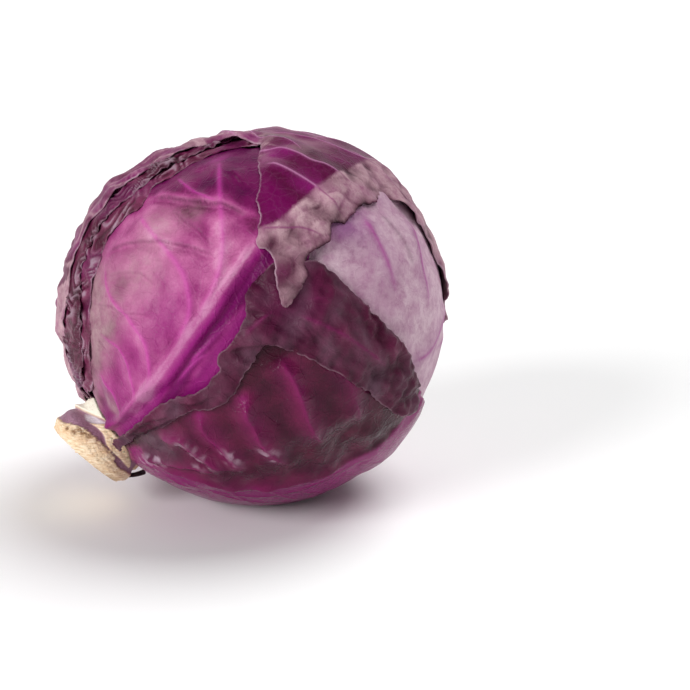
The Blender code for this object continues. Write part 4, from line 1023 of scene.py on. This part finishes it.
# Dusky rim leaf: brown-violet and satin, with a grey highlight painted on the crests of the crinkles
dusky = waxed_leaf(
    "dusky_rim_leaf", [(0.0, "#1C020E"), (0.35, "#480E2A"), (0.65, "#742E50"), (1.0, "#AA7C96")],
    tint="#6C1656", vein="#842C68", wax_and_sheen="#A494A0", rim="#A48496", roughness=0.38, net=0.0, specular=0.25)
for number, (name, (midrib, pleat_length, pleat_height, lightness)) in enumerate(RIM_LEAVES.items()):
    strip = LaidLeaf(name, side_veins(name, midrib, (6, 6), 1.2, 0.9), spacing=0.8, crinkle=0.5,
                     crinkle_length=5.0, seed=21 + number)
    crumple = pleats(strip, pleat_length, 22 + number)
    raised = strip.free * strip.tent + pleat_height * crumple + 0.3 * strip.ripple(7.0, 24 + number)
    # Grey on the crests is a painted highlight; lighter crests and darker troughs are painted light and shade
    strip.wrap(raised + strip.ruffle(0.35, 9.0, 4.0), dusky,
               wax_and_sheen=0.6 * smooth_step((crumple - 0.35) / 0.5),
               tone=lightness + 0.2 * crumple + 0.12 * strip.tent + 0.06 * strip.ripple(9.0, 30 + number),
               tint=0.35 * smooth_step(1.5 * strip.ripple(30.0, 5 + number) - 0.3), tuck=1.5)

# Outer wrapper: the last whole leaf, which cloaks the top and back and reaches over the left rim.
# The part that another leaf once covered keeps its bloom as a clean-edged pale band along the wavy margin.
OUTER_MIDRIB = [(16, 118), (45, 118), (80, 114), (110, 105), (135, 88), (151, 50), (155, 15)]
OUTER_VEINS = [
    ([(122, 80), (122, 62), (126.1, 43), (129.8, 36.8), (132.3, 30.8), (133.5, 25.5), (136.7, 20.3),
      (139.5, 11.4), (142.6, -0.9)], 1.6, 0.6),
    ([(127, 70), (129.7, 51.3), (133.9, 43.3), (135, 37), (134.2, 30.1)], 0.9, 0.4),
    ([(122, 33), (126, 22), (128.1, 13.3), (128.5, 6.3), (129.7, -0.9)], 1.4, 0.55),
    ([(106.7, 13.4), (110.7, 9.4), (115.6, 5.7), (119.1, -1.8)], 1.0, 0.5),
    ([(133.8, 62.1), (140.6, 54.8), (145.2, 49.2), (150.7, 37.8), (159, 29.6), (172, 33)], 1.3, 0.6),
    ([(146.5, 54), (162, 67), (169, 52), (173.7, -7)], 1.4, 0.7),
    ([(162, 32.2), (167.4, 17.3), (165, -17.4), (162.9, -39.3)], 1.3, 0.6),
    ([(154, 40), (161, 20), (160, -14), (158, -40)], 1.0, 0.5),
    ([(143, 70), (152, 76), (165, 90)], 1.1, 0.8),
]
BLOOM_EDGE = [(103, 17), (106.7, 13.9), (111, 11.5), (121.5, 13), (133.4, 15.4), (144, 17.7), (154.2, 23.2),
              (162.7, 34.5), (170, 60)]
OUTER_CREASES = [([(116, 26), (118, 18), (120, 10)], 0.4), ([(138, 8), (132, 9), (127, 5)], 0.5)]
BLOOM_BAND = 34.0            # mm wide, the part that another leaf once covered
RIM_CRUSH = 16.0             # mm in from the left margin that is crushed into pleats
# Waxed outer leaf: dark plum where the bloom is rubbed away, powdery grey-mauve where it is whole, and the
# same grey-mauve paints highlights
plum = waxed_leaf(
    "bloomed_plum_leaf",
    [(0.0, "#260414"), (0.3, "#520A36"), (0.55, "#74145A"), (0.8, "#964478"), (1.0, "#B886A2")],
    tint="#640648", vein="#BC7CA8", wax_and_sheen="#B8969E", rim="#BC9CAC", roughness=0.38, net=0.03,
    specular=0.08, clear=0.8)
outer_sides = side_veins("leaf_back_outer", OUTER_MIDRIB, (0, 7), 1.6, 1.1)[:-3]
outer = LaidLeaf("leaf_back_outer", OUTER_VEINS + outer_sides, OUTER_CREASES, spacing=1.05, crinkle=0.35,
                 crinkle_length=5.0, seed=55)
outer_polar, outer_turn = polar_turn(outer.directions).T
facing_back = outer.directions @ np.array([0.0, 1.0, 0.1])

# Where the leaf is pale, crushed, torn, straight or hanging in a tongue, and the painted shade along its
# straight edge
pale = smooth_step(-outer.side_of(BLOOM_EDGE) / 1.6 + 0.5) * smooth_step((BLOOM_BAND - outer.gap) / 5.0)
rim_area = smooth_step((outer_turn - 34.0) / 14.0) * smooth_step((138.0 - outer_polar) / 12.0)
torn_side = np.minimum(outer.spots([(118, 30, 26, 1.0), (104, 10, 10, 1.0)]), 1.0)
straight_edge = smooth_step((10.0 - np.abs(outer_turn + 2.0)) / 4.0)
straight_edge *= smooth_step((outer_polar - 104.0) / 4.0)
# Painted shade along the straight edge
edge_shade_line = straight_edge * np.exp(-outer.gap / 1.2)
tongue = outer.spot(101, 1, 13)
back_sheen = smooth_step((facing_back - 0.15) / 0.5)

blobs = outer.ripple(9.0, 56)
puckers = pale * smooth_step((0.4 - np.abs(outer.ripple(13.0, 64))) / 0.35)
meshed = smooth_step((0.3 - np.abs(outer.ripple(11.0, 63))) / 0.25)
meshed *= rim_area * np.exp(-(outer.gap / RIM_CRUSH) ** 2)
folded_rim = rim_area * np.exp(-outer.gap / RIM_CRUSH) * pleats(outer, 4.6, 61)
settled = 1.0 - 0.85 * np.exp(-outer.gap / 7.0) * np.maximum(rim_area, outer.spot(126, 44, 16))
waves = outer.ruffle(0.8, 12.0, 6.0, 0.4) * (1.0 - rim_area) + outer.ruffle(0.5, 9.0, 7.0) * rim_area
cloaked = outer.free * settled * (
    outer.tent + outer.fold + 0.35 * blobs * pale - 0.25 * puckers + 0.3 * outer.ripple(24.0, 57)
    + 1.3 * rim_area * outer.ripple(13.0, 58) + 0.45 * folded_rim + 0.4 * meshed)

pale_veins = 0.8 * pale * outer.vein * (1.0 - outer.spot(160, -50, 24))
outer.vein *= 1.0 - 0.75 * pale
# Painted highlights drawn in the wax colour: sheen on the rim's pleat crests, on the part facing back and in
# patches on top, with the rim's pale net of veins
top_sheen = smooth_step(0.5 + outer.ripple(12.0, 70)) * smooth_step((outer.directions[:, 2] - 0.84) / 0.1)
powder = pale * (0.8 + 0.3 * blobs - 0.35 * puckers) * (1.0 - pale_veins) * (1.0 - 0.85 * tongue)
sheen_and_net = 0.15 * rim_area * (1.0 + folded_rim) + 0.3 * back_sheen + 0.3 * top_sheen + 0.8 * meshed
# The tone is lighter on the veins, the raised blobs, the pleat crests and the part facing back, painted
# light, and darker in the puckers, painted shade
outer.wrap(cloaked + waves * (1.0 - 0.85 * torn_side), plum,
           wax_and_sheen=np.clip(powder + sheen_and_net, 0.0, 1.0) * (1.0 - edge_shade_line),
           tone=0.23 + 0.1 * outer.tent + 0.12 * pale * (1.0 + 0.8 * blobs) * (1.0 - tongue) + 0.12 * back_sheen
           + 0.1 * outer.ripple(18.0, 59) + 0.1 * rim_area * (1.0 + folded_rim)
           - 0.16 * tongue - 0.1 * puckers - 0.3 * edge_shade_line,
           tint=0.6 * outer.ripple(22.0, 60) * (1.0 - pale) + pale_veins,
           tuck=0.3 + 0.8 * torn_side + 1.2 * rim_area + 1.2 * straight_edge + 1.4 * outer.spot(125, 44, 16),
           bare=2.0 * straight_edge)

# Scrap: a black dried shred of an old leaf base that hangs from the lower edge of the stump.
# It is paper-thin and curled, and its root is pressed into the skin beside the scar.
SCRAP_LENGTH = 6.0           # mm along the stem
SCRAP_HANG = 5.5             # mm that its tip stands off the stump
SCRAP_THICK = 0.5            # mm toward the stem's middle, so the slanting shred itself is thinner
CRACKLE = 1.4                # mm between its wrinkles
SCRAP_TURN = -84.0           # degrees about the stem
SCRAP_ROWS, SCRAP_COLUMNS = 14, 9

# Dried shred: brittle, almost black, with a dull sheen on its curl
dried, tree, shader = new_finish("dried_black_shred")
place = add_node(tree, "ShaderNodeTexCoord").outputs["Object"]
crackle = add_node(tree, "ShaderNodeTexNoise", {"Vector": place, "Scale": 1 / (CRACKLE * MM), "Detail": 4.0})
dark = add_node(tree, "ShaderNodeMix", {0: crackle, 6: hex_colour("#120A0E"), 7: hex_colour("#4A3740")},
                data_type="RGBA")
wrinkled = add_node(tree, "ShaderNodeBump", {"Height": crackle, "Distance": 0.4 * MM})
plug(shader, {"Base Color": dark, "Normal": wrinkled, "Roughness": 0.6})

scrap_skins = []
for thickness in (0.0, SCRAP_THICK):
    for length in np.linspace(0.0, 1.0, SCRAP_ROWS):
        for across in np.linspace(-1.0, 1.0, SCRAP_COLUMNS):
            at = math.radians(SCRAP_TURN + 6.0 * across * (1.0 - 0.85 * length) - 10.0 * length)
            lift = STEM_LIP - 1.2 + SCRAP_HANG * length - 1.6 * length * across ** 2 - thickness
            side = math.cos(at) * FRONT + math.sin(at) * OVER
            back = 87.5 - SCRAP_LENGTH * length ** 2 + 1.2 * across
            scrap_skins.append(STEM * back + OVER * STEM_LEAN + side * lift)
skin_size = SCRAP_ROWS * SCRAP_COLUMNS
scrap_faces = grid_faces(SCRAP_ROWS, SCRAP_COLUMNS)
scrap_faces += [tuple(skin_size + corner for corner in reversed(quad)) for quad in scrap_faces]
ways = {(a, b) for quad in scrap_faces for a, b in zip(quad, quad[1:] + quad[:1])}
scrap_faces += [(b, a, a + skin_size, b + skin_size) for a, b in sorted(ways)
                if (b, a) not in ways and a < skin_size]
scrap = make_piece("dried_scrap", np.array(scrap_skins) + (0.0, 0.0, CENTRE_HEIGHT), scrap_faces, dried)
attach(scrap, "root")

# Studio: a plain white floor under two broad soft lights, one high on the right and a little behind, and
# one at the left of the camera. The tent round them is bright behind the head and dimmer in front.
SWEEP_SIZE = 60.0            # m, so that its end stays out of the photograph's view


def soft_sun(name, comes_from, width, power, mirrored=True):
    """An even light from a broad patch of the tent, its width in degrees, seen in gloss only if mirrored."""
    lamp = bpy.data.lights.new(name, "SUN")
    lamp.angle, lamp.energy = math.radians(width), power
    item = bpy.data.objects.new(name, lamp)
    item.rotation_euler = Vector(comes_from).to_track_quat("Z", "Y").to_euler()
    item.visible_glossy = mirrored
    bpy.context.scene.collection.objects.link(item)


sweep, _, shader = new_finish("white_sweep")
plug(shader, {"Base Color": hex_colour("#FAFAFA"), "Roughness": 0.9})
bpy.ops.mesh.primitive_plane_add(size=SWEEP_SIZE)
floor = bpy.context.object
floor.name = "floor"
floor.data.materials.append(sweep)
soft_sun("over_right_shoulder", (0.5, 0.25, 1.0), 40.0, 2.1, mirrored=False)
soft_sun("left_front", (-0.85, -0.75, 0.5), 30.0, 2.5)
world = bpy.data.worlds.new("light_tent")
world.use_nodes = True
tent = world.node_tree
every_way = add_node(tent, "ShaderNodeTexCoord").outputs["Generated"]
facing = add_node(tent, "ShaderNodeSeparateXYZ", {0: every_way}).outputs["Y"]
white = add_node(tent, "ShaderNodeMapRange", {"Value": facing, "From Min": 0.35, "From Max": 0.7,
                                              "To Min": 0.23, "To Max": 0.85})
plug(tent.nodes["Background"], {"Strength": white, "Color": (1.0, 1.0, 1.0, 1.0)})
bpy.context.scene.world = world
bpy.context.scene.view_settings.view_transform = "Standard"

# Camera: a 100 mm lens on a 36 mm frame, looking down on the head at a shallow angle.
# It stands at the height and distance that give the photograph's size and place.
CAMERA_RIGHT, CAMERA_BELOW, CAMERA_AWAY = 41.8, 14.08, 843.3   # mm from the ball's middle
lens = bpy.data.cameras.new("camera")
lens.lens, lens.sensor_width = 100.0, 36.0
camera = bpy.data.objects.new("camera", lens)
up = np.array([0.0, math.sin(rise), math.cos(rise)])
stand = np.array([CAMERA_RIGHT, 0.0, CENTRE_HEIGHT]) - CAMERA_BELOW * up + CAMERA_AWAY * VIEWED_FROM
camera.location = stand * MM
camera.rotation_euler = (math.radians(90.0 - VIEW_RISE), 0.0, 0.0)
bpy.context.scene.collection.objects.link(camera)
bpy.context.scene.camera = camera
